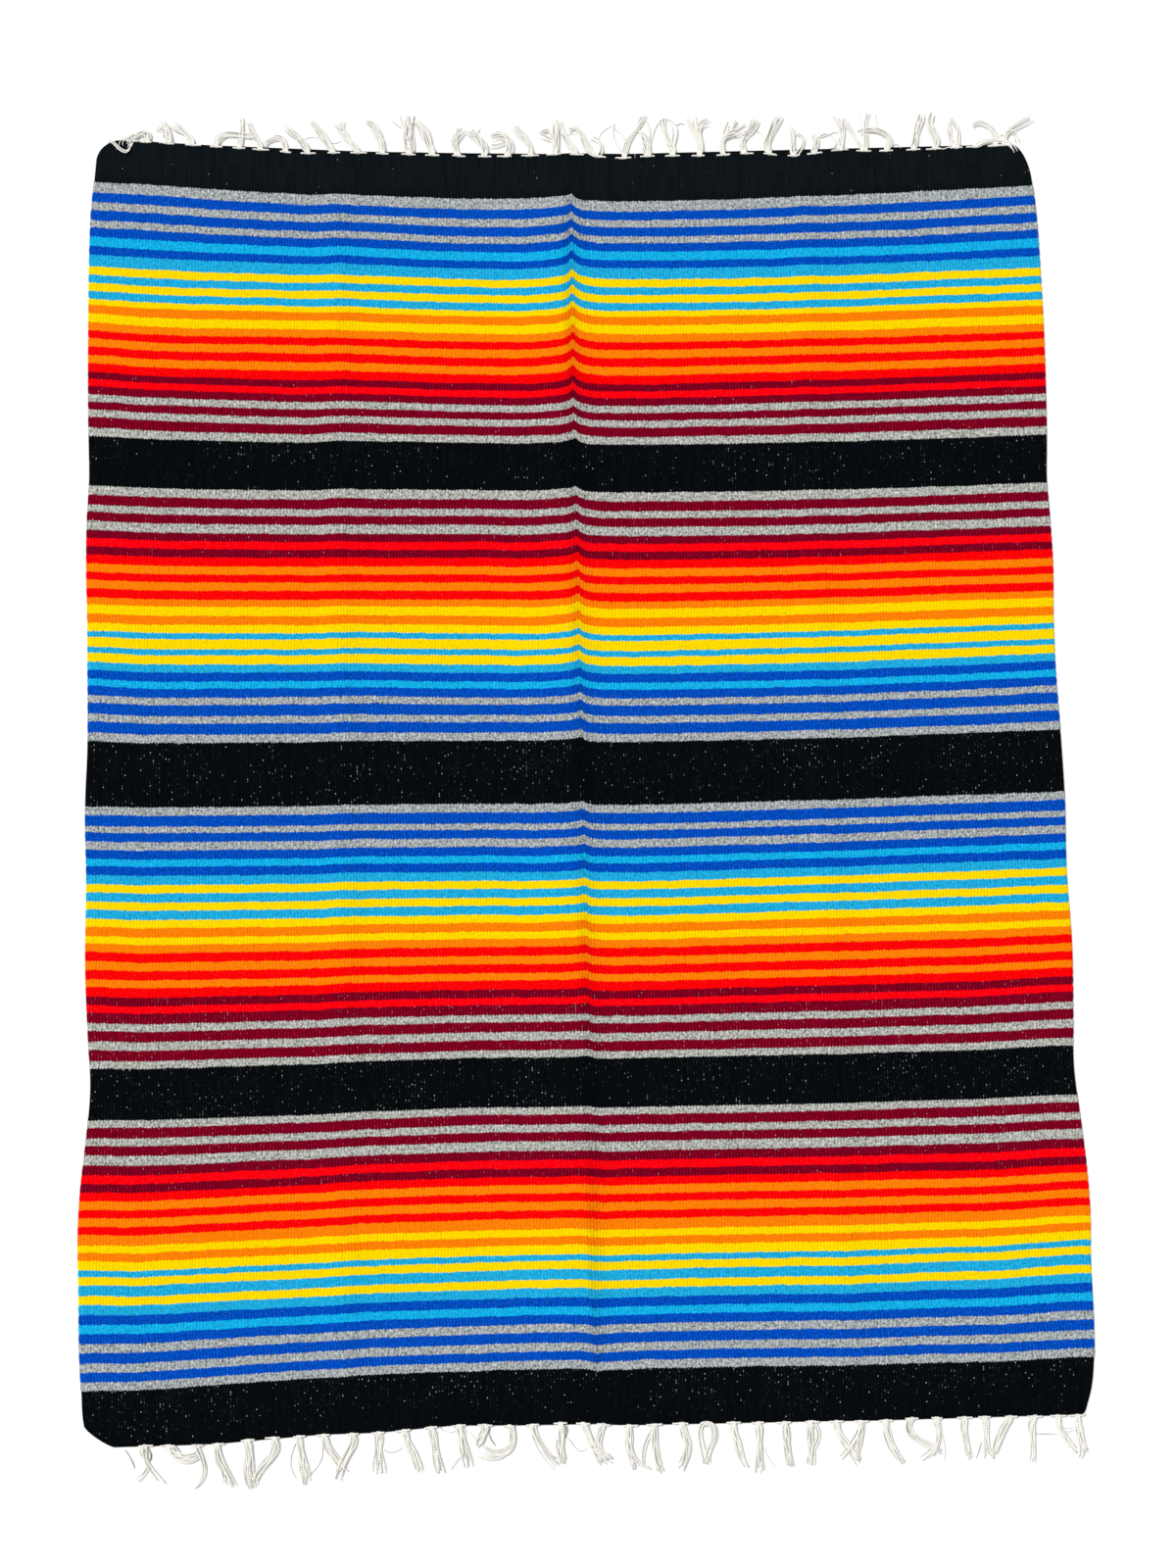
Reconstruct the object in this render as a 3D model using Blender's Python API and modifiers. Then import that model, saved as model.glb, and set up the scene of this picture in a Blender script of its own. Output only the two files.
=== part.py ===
"""A striped serape blanket laid flat on the floor: one woven cloth and the fringe of its warp at each end.

Frame: metres, +X to the right, +Y to the far end, +Z up, with the floor under the cloth at Z = 0 and
the origin below the middle of the whole outline.
"""
from typing import NamedTuple

import bmesh
import bpy
import numpy as np


class Section(NamedTuple):
    """One line of weft across the cloth, placed by how far it was woven from the far hem."""
    woven: float     # distance from the far hem along the middle of the cloth
    tilt: float      # how much higher up the floor the right side lies than the middle
    bow: float       # how much higher up the floor both sides lie than the middle


class Sides(NamedTuple):
    """Where the two selvedges lie at one distance from the far hem."""
    woven: float     # distance from the far hem
    left: float      # x of the left selvedge
    right: float     # x of the right selvedge


class Sway(NamedTuple):
    """How one point of a hem departs from its even curve."""
    across: float    # distance from the middle, to the right
    rise: float      # how far it lies towards the far end, in millimetres


class Fold(NamedTuple):
    """How the lengthwise middle fold stands at one distance from the far hem."""
    woven: float     # distance from the far hem
    height: float    # height of the soft ridge over the floor
    place: float     # how far the crest lies to the right of the middle


class Crease(NamedTuple):
    """A faint fold line that runs the whole way along or across the cloth."""
    place: float     # distance from the middle (lengthwise) or from the far hem (crosswise)
    height: float    # height of the ridge
    width: float     # half width of the ridge


class Corner(NamedTuple):
    """How a corner of the cloth rounds off."""
    across: float    # length of the round measured across the cloth
    down: float      # length of the round measured along the selvedge
    fullness: float  # power of its curve: 1 for a straight cut, 2 for an ellipse


class Tassel(NamedTuple):
    """One gathered bunch of warp ends, in millimetres from its root on the hem."""
    root: int        # x of the root
    knee_side: int   # sideways way to the bend, to the right
    knee_out: int    # outward way to the bend
    tip_side: int    # sideways way to the tip, to the right
    tip_out: int     # outward way to the tip
    spread: int      # how wide the yarns fan out at the tip
    over: int        # how high the bunch is lifted where it lies on its neighbour


WIDTH = 1.52
LENGTH = 1.976
FAR_HEM = 0.9917
THICKNESS = 0.0025
MM = 0.001

SECTIONS = (
    Section(0.000, -0.0200, 0.0250),
    Section(0.072, -0.0190, 0.0310),
    Section(0.240, -0.0170, 0.0230),
    Section(0.466, -0.0140, 0.0120),
    Section(0.552, -0.0128, 0.0135),
    Section(0.750, -0.0100, 0.0110),
    Section(0.937, -0.0073, 0.0085),
    Section(1.030, -0.0055, 0.0065),
    Section(1.240, -0.0020, 0.0020),
    Section(1.424, 0.0007, -0.0030),
    Section(1.498, 0.0027, -0.0022),
    Section(1.600, 0.0040, -0.0060),
    Section(1.710, 0.0060, -0.0100),
    Section(1.895, 0.0074, -0.0140),
    Section(1.976, 0.0071, -0.0150),
)

SIDES = (
    Sides(0.000, -0.7385, 0.7345),
    Sides(0.072, -0.7445, 0.7440),
    Sides(0.120, -0.7495, 0.7480),
    Sides(0.200, -0.7530, 0.7510),
    Sides(0.300, -0.7545, 0.7530),
    Sides(0.430, -0.7550, 0.7520),
    Sides(0.480, -0.7545, 0.7510),
    Sides(0.530, -0.7540, 0.7490),
    Sides(0.600, -0.7580, 0.7515),
    Sides(0.670, -0.7590, 0.7535),
    Sides(0.760, -0.7575, 0.7510),
    Sides(0.820, -0.7575, 0.7510),
    Sides(0.940, -0.7580, 0.7555),
    Sides(1.030, -0.7620, 0.7580),
    Sides(1.150, -0.7605, 0.7565),
    Sides(1.270, -0.7625, 0.7605),
    Sides(1.370, -0.7590, 0.7585),
    Sides(1.450, -0.7555, 0.7565),
    Sides(1.540, -0.7640, 0.7645),
    Sides(1.600, -0.7715, 0.7700),
    Sides(1.670, -0.7755, 0.7730),
    Sides(1.740, -0.7745, 0.7710),
    Sides(1.840, -0.7735, 0.7720),
    Sides(1.890, -0.7710, 0.7705),
    Sides(1.930, -0.7690, 0.7655),
    Sides(1.976, -0.7590, 0.7535),
)

FAR_LEFT = Corner(across=0.040, down=0.040, fullness=2.0)
FAR_RIGHT = Corner(across=0.022, down=0.060, fullness=2.0)
NEAR_LEFT = Corner(across=0.037, down=0.033, fullness=1.25)
NEAR_RIGHT = Corner(across=0.005, down=0.008, fullness=2.0)

FAR_SWAY = (
    Sway(-0.760, 0.0),
    Sway(-0.700, 0.0),
    Sway(-0.620, -1.0),
    Sway(-0.520, -2.7),
    Sway(-0.445, -5.7),
    Sway(-0.390, -2.6),
    Sway(-0.260, -2.0),
    Sway(-0.120, -2.3),
    Sway(-0.055, 0.0),
    Sway(0.010, 2.6),
    Sway(0.040, 0.0),
    Sway(0.085, -4.0),
    Sway(0.140, -1.0),
    Sway(0.240, -1.0),
    Sway(0.340, 0.5),
    Sway(0.370, -3.8),
    Sway(0.400, -3.2),
    Sway(0.430, -0.3),
    Sway(0.460, 3.2),
    Sway(0.520, 0.0),
    Sway(0.600, -0.6),
    Sway(0.760, 0.0),
)
NEAR_SWAY = (
    Sway(-0.760, 0.8),
    Sway(-0.700, 0.8),
    Sway(-0.660, -1.8),
    Sway(-0.580, -2.6),
    Sway(-0.550, 0.0),
    Sway(-0.450, 1.3),
    Sway(-0.310, 2.0),
    Sway(-0.280, 4.0),
    Sway(-0.170, 4.8),
    Sway(-0.140, 2.5),
    Sway(-0.050, 4.0),
    Sway(0.000, 1.0),
    Sway(0.030, -2.0),
    Sway(0.070, -2.6),
    Sway(0.140, -1.2),
    Sway(0.290, -2.8),
    Sway(0.350, -2.2),
    Sway(0.450, -1.8),
    Sway(0.480, 0.4),
    Sway(0.560, 2.0),
    Sway(0.630, 3.4),
    Sway(0.700, 4.8),
    Sway(0.760, 6.5),
)
SWAY_FADE = 0.065

MIDDLE_FOLD = 0.002
RIDGE_LEFT = 0.080
RIDGE_RIGHT = 0.021
FOLDS = (
    Fold(0.000, 0.0000, -0.006),
    Fold(0.020, 0.0012, -0.006),
    Fold(0.050, 0.0070, -0.006),
    Fold(0.100, 0.0110, -0.006),
    Fold(0.200, 0.0115, -0.005),
    Fold(0.470, 0.0110, 0.001),
    Fold(0.750, 0.0105, 0.003),
    Fold(1.000, 0.0100, 0.003),
    Fold(1.250, 0.0095, 0.003),
    Fold(1.750, 0.0095, 0.004),
    Fold(1.890, 0.0080, 0.004),
    Fold(1.930, 0.0050, 0.004),
    Fold(1.956, 0.0010, 0.004),
    Fold(1.976, 0.0000, 0.004),
)
LENGTHWISE = (
    Crease(place=-0.365, height=0.0040, width=0.018),
    Crease(place=0.385, height=0.0035, width=0.020),
)
CROSSWISE = Crease(place=0.983, height=0.0040, width=0.020)
HEM_FADE = 0.080
SIDE_FADE = 0.060
RESTING = 0.0002

FOLD_STEPS = (-0.160, -0.110, -0.070, -0.035, -0.012, 0.0, 0.010, 0.020, 0.032, 0.050)
CREASE_STEPS = (-2.2, -1.0, 0.0, 1.0, 2.2)
HEM_STEPS = (0.0, 0.0015, 0.005, 0.012, 0.022, 0.036, 0.055, 0.080, 0.110)
COARSE_STEP = 0.125

SEAM_GAP = 0.0003
STRIP_DEPTH = 0.0040
STRIP_FOOT = 0.0005
STRIP_TOP = 0.0021
STRIP_END = 0.70
STRANDS = 3
STRAND_WIDTH = 0.0022
STRAND_PITCH = 0.0033
STRAND_REACH = (0.88, 1.00, 0.94)
TIP_SHARE = 0.55
STRAIGHT_STEPS = 3
CURVED_STEPS = 5
CURVED_BEND = 12

FAR_TASSELS = (
    Tassel(-684, -6, 8, -20, 13, 8, 0),
    Tassel(-662, 3, 20, -20, 26, 8, 0),
    Tassel(-628, 0, 18, -15, 32, 8, 0),
    Tassel(-588, -8, 24, -32, 39, 8, 0),
    Tassel(-550, 14, 36, 56, 24, 8, 3),
    Tassel(-514, -3, 28, 2, 53, 9, 0),
    Tassel(-479, -2, 28, -21, 49, 8, 0),
    Tassel(-440, -2, 36, -26, 20, 8, 0),
    Tassel(-404, -6, 24, -38, 45, 8, 0),
    Tassel(-363, -10, 26, -40, 51, 8, 0),
    Tassel(-324, -8, 30, -38, 54, 8, 0),
    Tassel(-286, -2, 36, -29, 55, 8, 0),
    Tassel(-243, -3, 34, -2, 66, 8, 0),
    Tassel(-206, -20, 30, -27, 60, 8, 0),
    Tassel(-164, 2, 26, 7, 48, 9, 0),
    Tassel(-125, -14, 22, -24, 38, 8, 0),
    Tassel(-91, -2, 26, -26, 32, 8, 0),
    Tassel(-52, -8, 24, -27, 44, 8, 0),
    Tassel(-13, -10, 16, -21, 33, 10, 0),
    Tassel(20, -4, 30, -29, 55, 8, 0),
    Tassel(55, -4, 32, -38, 53, 8, 0),
    Tassel(97, 2, 34, 24, 68, 8, 0),
    Tassel(135, 0, 26, -8, 50, 8, 0),
    Tassel(174, -2, 34, -14, 66, 8, 0),
    Tassel(216, 2, 36, -11, 65, 12, 0),
    Tassel(255, 2, 30, 20, 57, 16, 0),
    Tassel(290, 4, 30, 22, 55, 8, 0),
    Tassel(329, 4, 32, 19, 64, 8, 0),
    Tassel(367, 2, 26, -5, 55, 8, 0),
    Tassel(399, 4, 36, 27, 24, 8, 0),
    Tassel(440, -2, 34, 4, 62, 8, 0),
    Tassel(479, -4, 28, -16, 56, 16, 0),
    Tassel(512, 0, 22, -22, 39, 8, 0),
    Tassel(557, 2, 34, 13, 63, 8, 0),
    Tassel(589, 0, 32, 4, 60, 8, 0),
    Tassel(625, -2, 26, -12, 48, 8, 0),
    Tassel(654, 14, 28, 72, 46, 8, 3),
    Tassel(685, -6, 20, -38, 34, 8, 0),
    Tassel(702, 8, 22, 34, 44, 8, 0),
)
NEAR_TASSELS = (
    Tassel(-704, 2, 18, 13, 35, 8, 0),
    Tassel(-674, -2, 30, -8, 56, 14, 0),
    Tassel(-638, 38, 30, 24, 62, 8, 0),
    Tassel(-595, 8, 40, -2, 67, 8, 0),
    Tassel(-564, 6, 34, 26, 67, 8, 0),
    Tassel(-519, -2, 40, 2, 72, 9, 0),
    Tassel(-479, -4, 28, -24, 50, 8, 0),
    Tassel(-441, 0, 40, 11, 75, 8, 0),
    Tassel(-403, 4, 34, 36, 60, 8, 3),
    Tassel(-360, -2, 36, -24, 67, 8, 0),
    Tassel(-320, 4, 30, 0, 60, 8, 0),
    Tassel(-281, 4, 32, 24, 62, 8, 0),
    Tassel(-240, 4, 36, 12, 70, 8, 0),
    Tassel(-198, 2, 32, 12, 66, 9, 0),
    Tassel(-158, -2, 16, -10, 28, 10, 0),
    Tassel(-122, 4, 50, -34, 42, 8, 0),
    Tassel(-86, 2, 36, 30, 62, 8, 0),
    Tassel(-43, -2, 30, 2, 57, 8, 0),
    Tassel(-10, 4, 30, 26, 56, 8, 0),
    Tassel(23, 4, 32, 18, 60, 8, 0),
    Tassel(61, -2, 36, 6, 70, 9, 0),
    Tassel(99, 2, 38, 3, 74, 8, 0),
    Tassel(140, 14, 38, -3, 74, 8, 0),
    Tassel(178, 2, 32, -3, 64, 16, 0),
    Tassel(219, 4, 36, 19, 70, 8, 0),
    Tassel(257, 4, 40, -2, 76, 8, 0),
    Tassel(297, -2, 34, 4, 69, 8, 0),
    Tassel(336, 2, 34, -6, 68, 8, 0),
    Tassel(376, 2, 32, 16, 61, 8, 0),
    Tassel(412, 4, 34, -4, 70, 8, 0),
    Tassel(451, 4, 34, 25, 67, 8, 0),
    Tassel(491, 12, 26, 46, 53, 8, 3),
    Tassel(528, -2, 30, -8, 61, 9, 0),
    Tassel(570, 0, 30, 6, 60, 8, 0),
    Tassel(601, 2, 28, 0, 57, 8, 0),
    Tassel(640, -2, 30, -22, 56, 8, 0),
    Tassel(678, -2, 30, -11, 61, 8, 0),
    Tassel(712, 4, 28, 20, 52, 8, 0),
    Tassel(742, -2, 28, 1, 58, 8, 0),
)


def read(rows, name, spot):
    """Read one column of a table at places of its first column, on a smooth line through its rows."""
    place = np.array([row[0] for row in rows])
    value = np.array([getattr(row, name) for row in rows])
    slope = np.gradient(value, place)
    at = np.clip(np.searchsorted(place, spot, side="right") - 1, 0, len(rows) - 2)
    span = place[at + 1] - place[at]
    t = (spot - place[at]) / span
    start = value[at] * (1 + 2 * t) * (1 - t) ** 2 + slope[at] * span * t * (1 - t) ** 2
    end = value[at + 1] * t * t * (3 - 2 * t) - slope[at + 1] * span * t * t * (1 - t)
    return start + end


def ridge(distance):
    """Cross-section of the middle fold, 1 at its crest: a slow rise from the left and a steep fall."""
    return np.exp(-(distance / np.where(distance < 0, RIDGE_LEFT, RIDGE_RIGHT)) ** 2)


def fade(distance, length):
    """Rise smoothly from 0 at an edge to 1 at a length inside it."""
    t = np.clip(distance / length, 0, 1)
    return t * t * (3 - 2 * t)


def corner_inset(distance, corner):
    """How far a rounded corner draws the selvedge in, at a distance from the hem."""
    rest = np.clip(1 - distance / corner.down, 0, 1)
    return corner.across * (1 - (1 - rest ** corner.fullness) ** (1 / corner.fullness))


def cloth_point(across, woven):
    """Place on the floor of a point of the cloth, from its place in the weave."""
    left = read(SIDES, "left", woven)
    left = left + corner_inset(woven, FAR_LEFT) + corner_inset(LENGTH - woven, NEAR_LEFT)
    right = read(SIDES, "right", woven)
    right = right - corner_inset(woven, FAR_RIGHT) - corner_inset(LENGTH - woven, NEAR_RIGHT)
    share = across / WIDTH + 0.5
    x = left * (1 - share) + right * share
    side = x / (WIDTH / 2)
    rise = read(SECTIONS, "tilt", woven) * side + read(SECTIONS, "bow", woven) * side ** 2
    sway = read(FAR_SWAY, "rise", across) * fade(SWAY_FADE - woven, SWAY_FADE)
    sway = sway + read(NEAR_SWAY, "rise", across) * fade(SWAY_FADE - (LENGTH - woven), SWAY_FADE)
    y = FAR_HEM - woven + rise + sway * MM
    z = read(FOLDS, "height", woven) * ridge(across - read(FOLDS, "place", woven))
    from_hem = np.minimum(woven, LENGTH - woven)
    from_side = WIDTH / 2 - np.abs(across)
    for crease in LENGTHWISE:
        reach = np.clip(1 - ((across - crease.place) / (2 * crease.width)) ** 2, 0, 1) ** 2
        z = z + crease.height * reach * fade(from_hem, HEM_FADE)
    reach = np.clip(1 - ((woven - CROSSWISE.place) / (2 * CROSSWISE.width)) ** 2, 0, 1) ** 2
    z = z + CROSSWISE.height * reach * fade(from_side, SIDE_FADE)
    return x, y, np.where(z < RESTING, 0.0, z)


def stations(start, end, fixed):
    """Sorted places from start to end that hold the fixed ones, no further apart than the coarse step."""
    places = sorted({round(place, 5) for place in (start, end, *fixed) if start <= place <= end})
    filled = [places[0]]
    for here, there in zip(places, places[1:]):
        parts = max(1, int(np.ceil((there - here) / COARSE_STEP)))
        filled += [here + (there - here) * k / parts for k in range(1, parts + 1)]
    return np.array(filled)


def weave_columns():
    """Places across the cloth, closer together over the folds."""
    fixed = [MIDDLE_FOLD + step for step in FOLD_STEPS]
    for crease in LENGTHWISE:
        fixed += [crease.place + step * crease.width for step in CREASE_STEPS]
    return stations(-WIDTH / 2, WIDTH / 2, fixed)


def weave_rows():
    """Places along the cloth, closer together at the hems and over the crosswise crease."""
    fixed = [CROSSWISE.place + step * CROSSWISE.width for step in CREASE_STEPS]
    for step in HEM_STEPS:
        fixed += [step, LENGTH - step]
    return stations(0.0, LENGTH, fixed)


def material(name, colour, roughness):
    """A Principled material of one plain colour."""
    made = bpy.data.materials.new(name)
    made.use_nodes = True
    shader = made.node_tree.nodes["Principled BSDF"]
    shader.inputs["Base Color"].default_value = (*colour, 1.0)
    shader.inputs["Roughness"].default_value = roughness
    shader.inputs["Metallic"].default_value = 0.0
    return made


def add_object(name, mesh, collection, finish):
    """Put a mesh into the collection under its piece's name."""
    piece = bpy.data.objects.new(name, mesh)
    mesh.materials.append(finish)
    collection.objects.link(piece)
    return piece


def build_cloth(collection):
    """The woven cloth: its flat underside as a grid of sections, thickened upwards."""
    columns, rows = weave_columns(), weave_rows()
    across, woven = np.meshgrid(columns, rows)
    x, y, z = cloth_point(across, woven)
    points = np.stack([x, y, z], axis=-1).reshape(-1, 3)
    wide = len(columns)
    corner = np.arange(len(rows) - 1)[:, None] * wide + np.arange(wide - 1)[None, :]
    quads = np.stack([corner, corner + wide, corner + wide + 1, corner + 1], axis=-1).reshape(-1, 4)
    mesh = bpy.data.meshes.new("serape_cloth")
    mesh.from_pydata(points.tolist(), [], quads.tolist())
    cloth = add_object("serape_cloth", mesh, collection, material("black_wool", (0.006, 0.008, 0.011), 0.9))
    wall = cloth.modifiers.new("wall", "SOLIDIFY")
    wall.thickness = THICKNESS
    wall.offset = 1.0
    return cloth


def hem_line(woven, corners):
    """The cloth's end edge from corner to corner, as x and y of the points its solid has there."""
    columns = weave_columns()
    x, y, _ = cloth_point(columns, np.full_like(columns, woven))
    toward = 1 if woven == 0.0 else -1
    for side, corner in zip((-1, 1), corners):
        inside = [step for step in HEM_STEPS[1:] if step < corner.down]
        places = woven + toward * np.array(inside)
        edge_x, edge_y, _ = cloth_point(np.full_like(places, side * WIDTH / 2), places)
        if side < 0:
            x, y = np.append(edge_x[::-1], x), np.append(edge_y[::-1], y)
        else:
            x, y = np.append(x, edge_x), np.append(y, edge_y)
    return x, y


def strand_path(tassel, strand, outward):
    """Middle line of one strand: a curve from root to knee to tip, moved aside by its place in the bunch."""
    bend = abs(tassel.knee_side - tassel.tip_side * tassel.knee_out / max(tassel.tip_out, 1))
    steps = CURVED_STEPS if bend > CURVED_BEND else STRAIGHT_STEPS
    reach = STRAND_REACH[(strand + tassel.root) % STRANDS]
    t = np.linspace(0, reach, steps + 1)
    knee = np.array([tassel.knee_side, tassel.knee_out]) * MM
    tip = np.array([tassel.tip_side, tassel.tip_out]) * MM
    run = 2 * np.outer(t * (1 - t), knee) + np.outer(t * t, tip)
    way = 2 * np.outer(1 - 2 * t, knee) + 2 * np.outer(t, tip)
    way /= np.linalg.norm(way, axis=1)[:, None]
    place = strand - (STRANDS - 1) / 2
    aside = place * (STRAND_PITCH + (tassel.spread * MM / (STRANDS - 1) - STRAND_PITCH) * t ** 2)
    x = run[:, 0] + aside * way[:, 1]
    out = run[:, 1] - aside * way[:, 0]
    side = np.stack([way[:, 1], -way[:, 0] * outward], axis=1)
    lift = tassel.over * MM * fade(t, 0.4)
    return x, out * outward, lift, side, np.linspace(1, TIP_SHARE, steps + 1)


def grow_strand(bm, face, middle, outward, tassel, strand):
    """Extrude one strand from its cell on the strip's outer face, section by section."""
    x, y, lift, side, size = strand_path(tassel, strand, outward)
    right = [corner.co.x > middle.x for corner in face.verts]
    upper = [corner.co.z > middle.z for corner in face.verts]
    height = STRIP_TOP - STRIP_FOOT
    root_x = tassel.root * MM
    for k in range(1, len(x)):
        face = bmesh.ops.extrude_discrete_faces(bm, faces=[face])["faces"][0]
        for corner, is_right, is_upper in zip(face.verts, right, upper):
            aside = (0.5 if is_right else -0.5) * STRAND_WIDTH * size[k]
            corner.co.x = root_x + x[k] + aside * side[k][0]
            corner.co.y = middle.y + y[k] + aside * side[k][1]
            corner.co.z = STRIP_FOOT + lift[k] + (height * size[k] if is_upper else 0.0)


def build_fringe(name, woven, corners, outward, tassels, collection, finish):
    """A narrow strip just off the hem, with the strands of its tassels fused to its outer face."""
    hem_x, hem_y = hem_line(woven, corners)
    start = np.interp(STRIP_END, [0, 1], [hem_x[0], hem_x[0] + corners[0].across])
    end = np.interp(STRIP_END, [0, 1], [hem_x[-1], hem_x[-1] - corners[1].across])
    cells = {}
    centres = []
    for tassel in tassels:
        for strand in range(STRANDS):
            centre = tassel.root * MM + (strand - (STRANDS - 1) / 2) * STRAND_PITCH
            cells[centre - STRAND_WIDTH / 2] = (tassel, strand)
            cells[centre + STRAND_WIDTH / 2] = None
            centres.append(centre)
    clear = [x for x in hem_x if start < x < end and np.abs(np.array(centres) - x).min() > STRAND_WIDTH / 2]
    places = np.array(sorted({start, end, *clear, *cells}))
    inner = np.interp(places, hem_x, hem_y) + outward * SEAM_GAP
    bm = bmesh.new()
    rings = []
    for x, y in zip(places, inner):
        outer = y + outward * STRIP_DEPTH
        corners_yz = ((y, STRIP_FOOT), (y, STRIP_TOP), (outer, STRIP_TOP), (outer, STRIP_FOOT))
        rings.append([bm.verts.new((x, *point)) for point in corners_yz])
    bm.faces.new(rings[0])
    bm.faces.new(rings[-1])
    roots = []
    for place, ring, following in zip(places, rings, rings[1:]):
        for k in range(4):
            after = (k + 1) % 4
            face = bm.faces.new((ring[k], ring[after], following[after], following[k]))
            if k == 2 and cells.get(place):
                roots.append((face, cells[place]))
    for face, (tassel, strand) in roots:
        grow_strand(bm, face, face.calc_center_median(), outward, tassel, strand)
    bmesh.ops.recalc_face_normals(bm, faces=bm.faces)
    mesh = bpy.data.meshes.new(name)
    bm.to_mesh(mesh)
    bm.free()
    return add_object(name, mesh, collection, finish)


def main():
    """Clear the scene and build the serape."""
    for old in list(bpy.data.objects):
        bpy.data.objects.remove(old, do_unlink=True)
    collection = bpy.data.collections.new("serape")
    bpy.context.scene.collection.children.link(collection)
    build_cloth(collection)
    warp = material("natural_cotton", (0.80, 0.78, 0.73), 0.85)
    build_fringe("fringe_far", 0.0, (FAR_LEFT, FAR_RIGHT), 1, FAR_TASSELS, collection, warp)
    build_fringe("fringe_near", LENGTH, (NEAR_LEFT, NEAR_RIGHT), -1, NEAR_TASSELS, collection, warp)


main()
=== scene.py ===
"""A striped serape blanket laid flat on a pale studio floor.

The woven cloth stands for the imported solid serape_cloth, and the fringe of its warp at each end for
fringe_far and fringe_near.
Lengths are in metres unless a table says millimetres: +X is right, +Y the far end, +Z up, and the floor
is at Z = 0. A place in the weave is given as across, from the middle of the cloth to the right, and as
woven, the length of cloth from the far hem.
"""
import logging
import math
from dataclasses import dataclass
from enum import Enum
from functools import reduce
from operator import add
from typing import Any, Callable, Iterable, NamedTuple, Sequence, TypeVar, Union

import bpy
import numpy as np
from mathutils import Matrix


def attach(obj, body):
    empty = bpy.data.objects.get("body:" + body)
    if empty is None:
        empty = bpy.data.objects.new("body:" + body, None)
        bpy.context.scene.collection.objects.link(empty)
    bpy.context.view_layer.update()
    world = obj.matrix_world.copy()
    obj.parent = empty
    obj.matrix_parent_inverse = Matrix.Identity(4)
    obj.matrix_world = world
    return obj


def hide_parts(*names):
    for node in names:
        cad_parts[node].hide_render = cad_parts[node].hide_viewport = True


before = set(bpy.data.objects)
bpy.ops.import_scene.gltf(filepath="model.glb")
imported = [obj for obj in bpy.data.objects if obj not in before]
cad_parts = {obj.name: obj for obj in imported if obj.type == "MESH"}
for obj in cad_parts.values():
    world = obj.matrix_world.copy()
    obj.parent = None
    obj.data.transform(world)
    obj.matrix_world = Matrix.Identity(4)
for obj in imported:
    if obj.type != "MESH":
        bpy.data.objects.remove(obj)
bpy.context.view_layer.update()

LOG = logging.getLogger("serape")
BODY = "root"
MM = 0.001
LENGTH = 1.976
Array = np.ndarray
Colour = tuple[float, float, float]
Channels = tuple[float, ...]
Row = TypeVar("Row")


class Section(NamedTuple):
    """One line of weft across the cloth, placed by how far it was woven from the far hem."""
    woven: float     # distance from the far hem along the middle of the cloth
    tilt: float      # how much higher up the floor the right side lies than the middle
    bow: float       # how much higher up the floor both sides lie than the middle


class Hem(NamedTuple):
    """One end of the cloth and how its fringe starts; pitch is the step of its tables of locks and wisps."""
    woven: float     # its place in the weave
    outward: int     # 1 where the fringe points to +Y, -1 where to -Y
    pitch: float     # one step of its tables, in metres
    foot: float      # how far out the feet of its tassels lie, in steps
    root: float      # how far out its locks begin, in steps


class Sides(NamedTuple):
    """Where the two selvedges lie at one distance from the far hem."""
    woven: float     # distance from the far hem
    left: float      # x of the left selvedge
    right: float     # x of the right selvedge


class Sway(NamedTuple):
    """How one point of a hem departs from its even curve."""
    across: float    # distance from the middle, to the right
    rise: float      # how far it lies towards the far end, in millimetres


class Fold(NamedTuple):
    """How the lengthwise middle fold stands at one distance from the far hem."""
    woven: float     # distance from the far hem
    height: float    # height of the soft ridge over the floor
    place: float     # how far the crest lies to the right of the middle
    flank: float     # width of its right flank


class Crease(NamedTuple):
    """A faint fold line that runs the whole way along or across the cloth."""
    place: float     # distance from the middle (lengthwise) or from the far hem (crosswise)
    height: float    # height of the ridge
    width: float     # half width of the ridge


class Corner(NamedTuple):
    """How a corner of the cloth rounds off."""
    across: float    # length of the round measured across the cloth
    down: float      # length of the round measured along the selvedge
    fullness: float  # power of its curve: 1 for a straight cut, 2 for an ellipse


class Drift(NamedTuple):
    """How far the stripes lie towards the far end of an even layout, in millimetres, on one line of weft."""
    woven: float        # distance from the far hem, in metres
    edge_left: float    # at the left selvedge
    side_left: float    # 0.10 m inside it
    left: float         # just outside the left quarter crease
    crease_left: float  # just inside the left quarter crease
    inner_left: float   # between it and the middle fold
    fold_left: float    # just left of the middle fold
    crest: float        # how far the middle fold itself draws the stripes beyond its two sides
    place: float        # where the crest is, to the right of the middle
    fold_right: float   # just right of the middle fold
    right: float        # at the right quarter crease
    side_right: float   # 0.18 m inside the right selvedge
    edge_right: float   # at the right selvedge


class Lock(NamedTuple):
    """One lock of warp yarns, as steps of its end's pitch aside (to the right) and out from its root."""
    root: int        # x of the root on the hem, in millimetres
    side_1: int      # aside, a third of the way along
    out_1: int       # out, a third of the way along
    side_2: int      # aside, two thirds of the way along
    out_2: int       # out, two thirds of the way along
    side_3: int      # aside, at the tip
    out_3: int       # out, at the tip
    ends: int        # pairs of yarns
    width: float     # width of its body
    fan: int         # width at its tip


class Wisp(NamedTuple):
    """One single thread, as steps of its end's pitch aside (to the right) and out from a root."""
    root: int        # x of the root on the hem, in millimetres
    side_0: int      # aside, at its start
    out_0: int       # out, at its start
    side_1: int      # aside, a third of the way along
    out_1: int       # out, a third of the way along
    side_2: int      # aside, two thirds of the way along
    out_2: int       # out, two thirds of the way along
    side_3: int      # aside, at its end
    out_3: int       # out, at its end
    thick: int       # its radius in tenths of a millimetre
    brown: float     # how brown it is, 0 to 1


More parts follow.
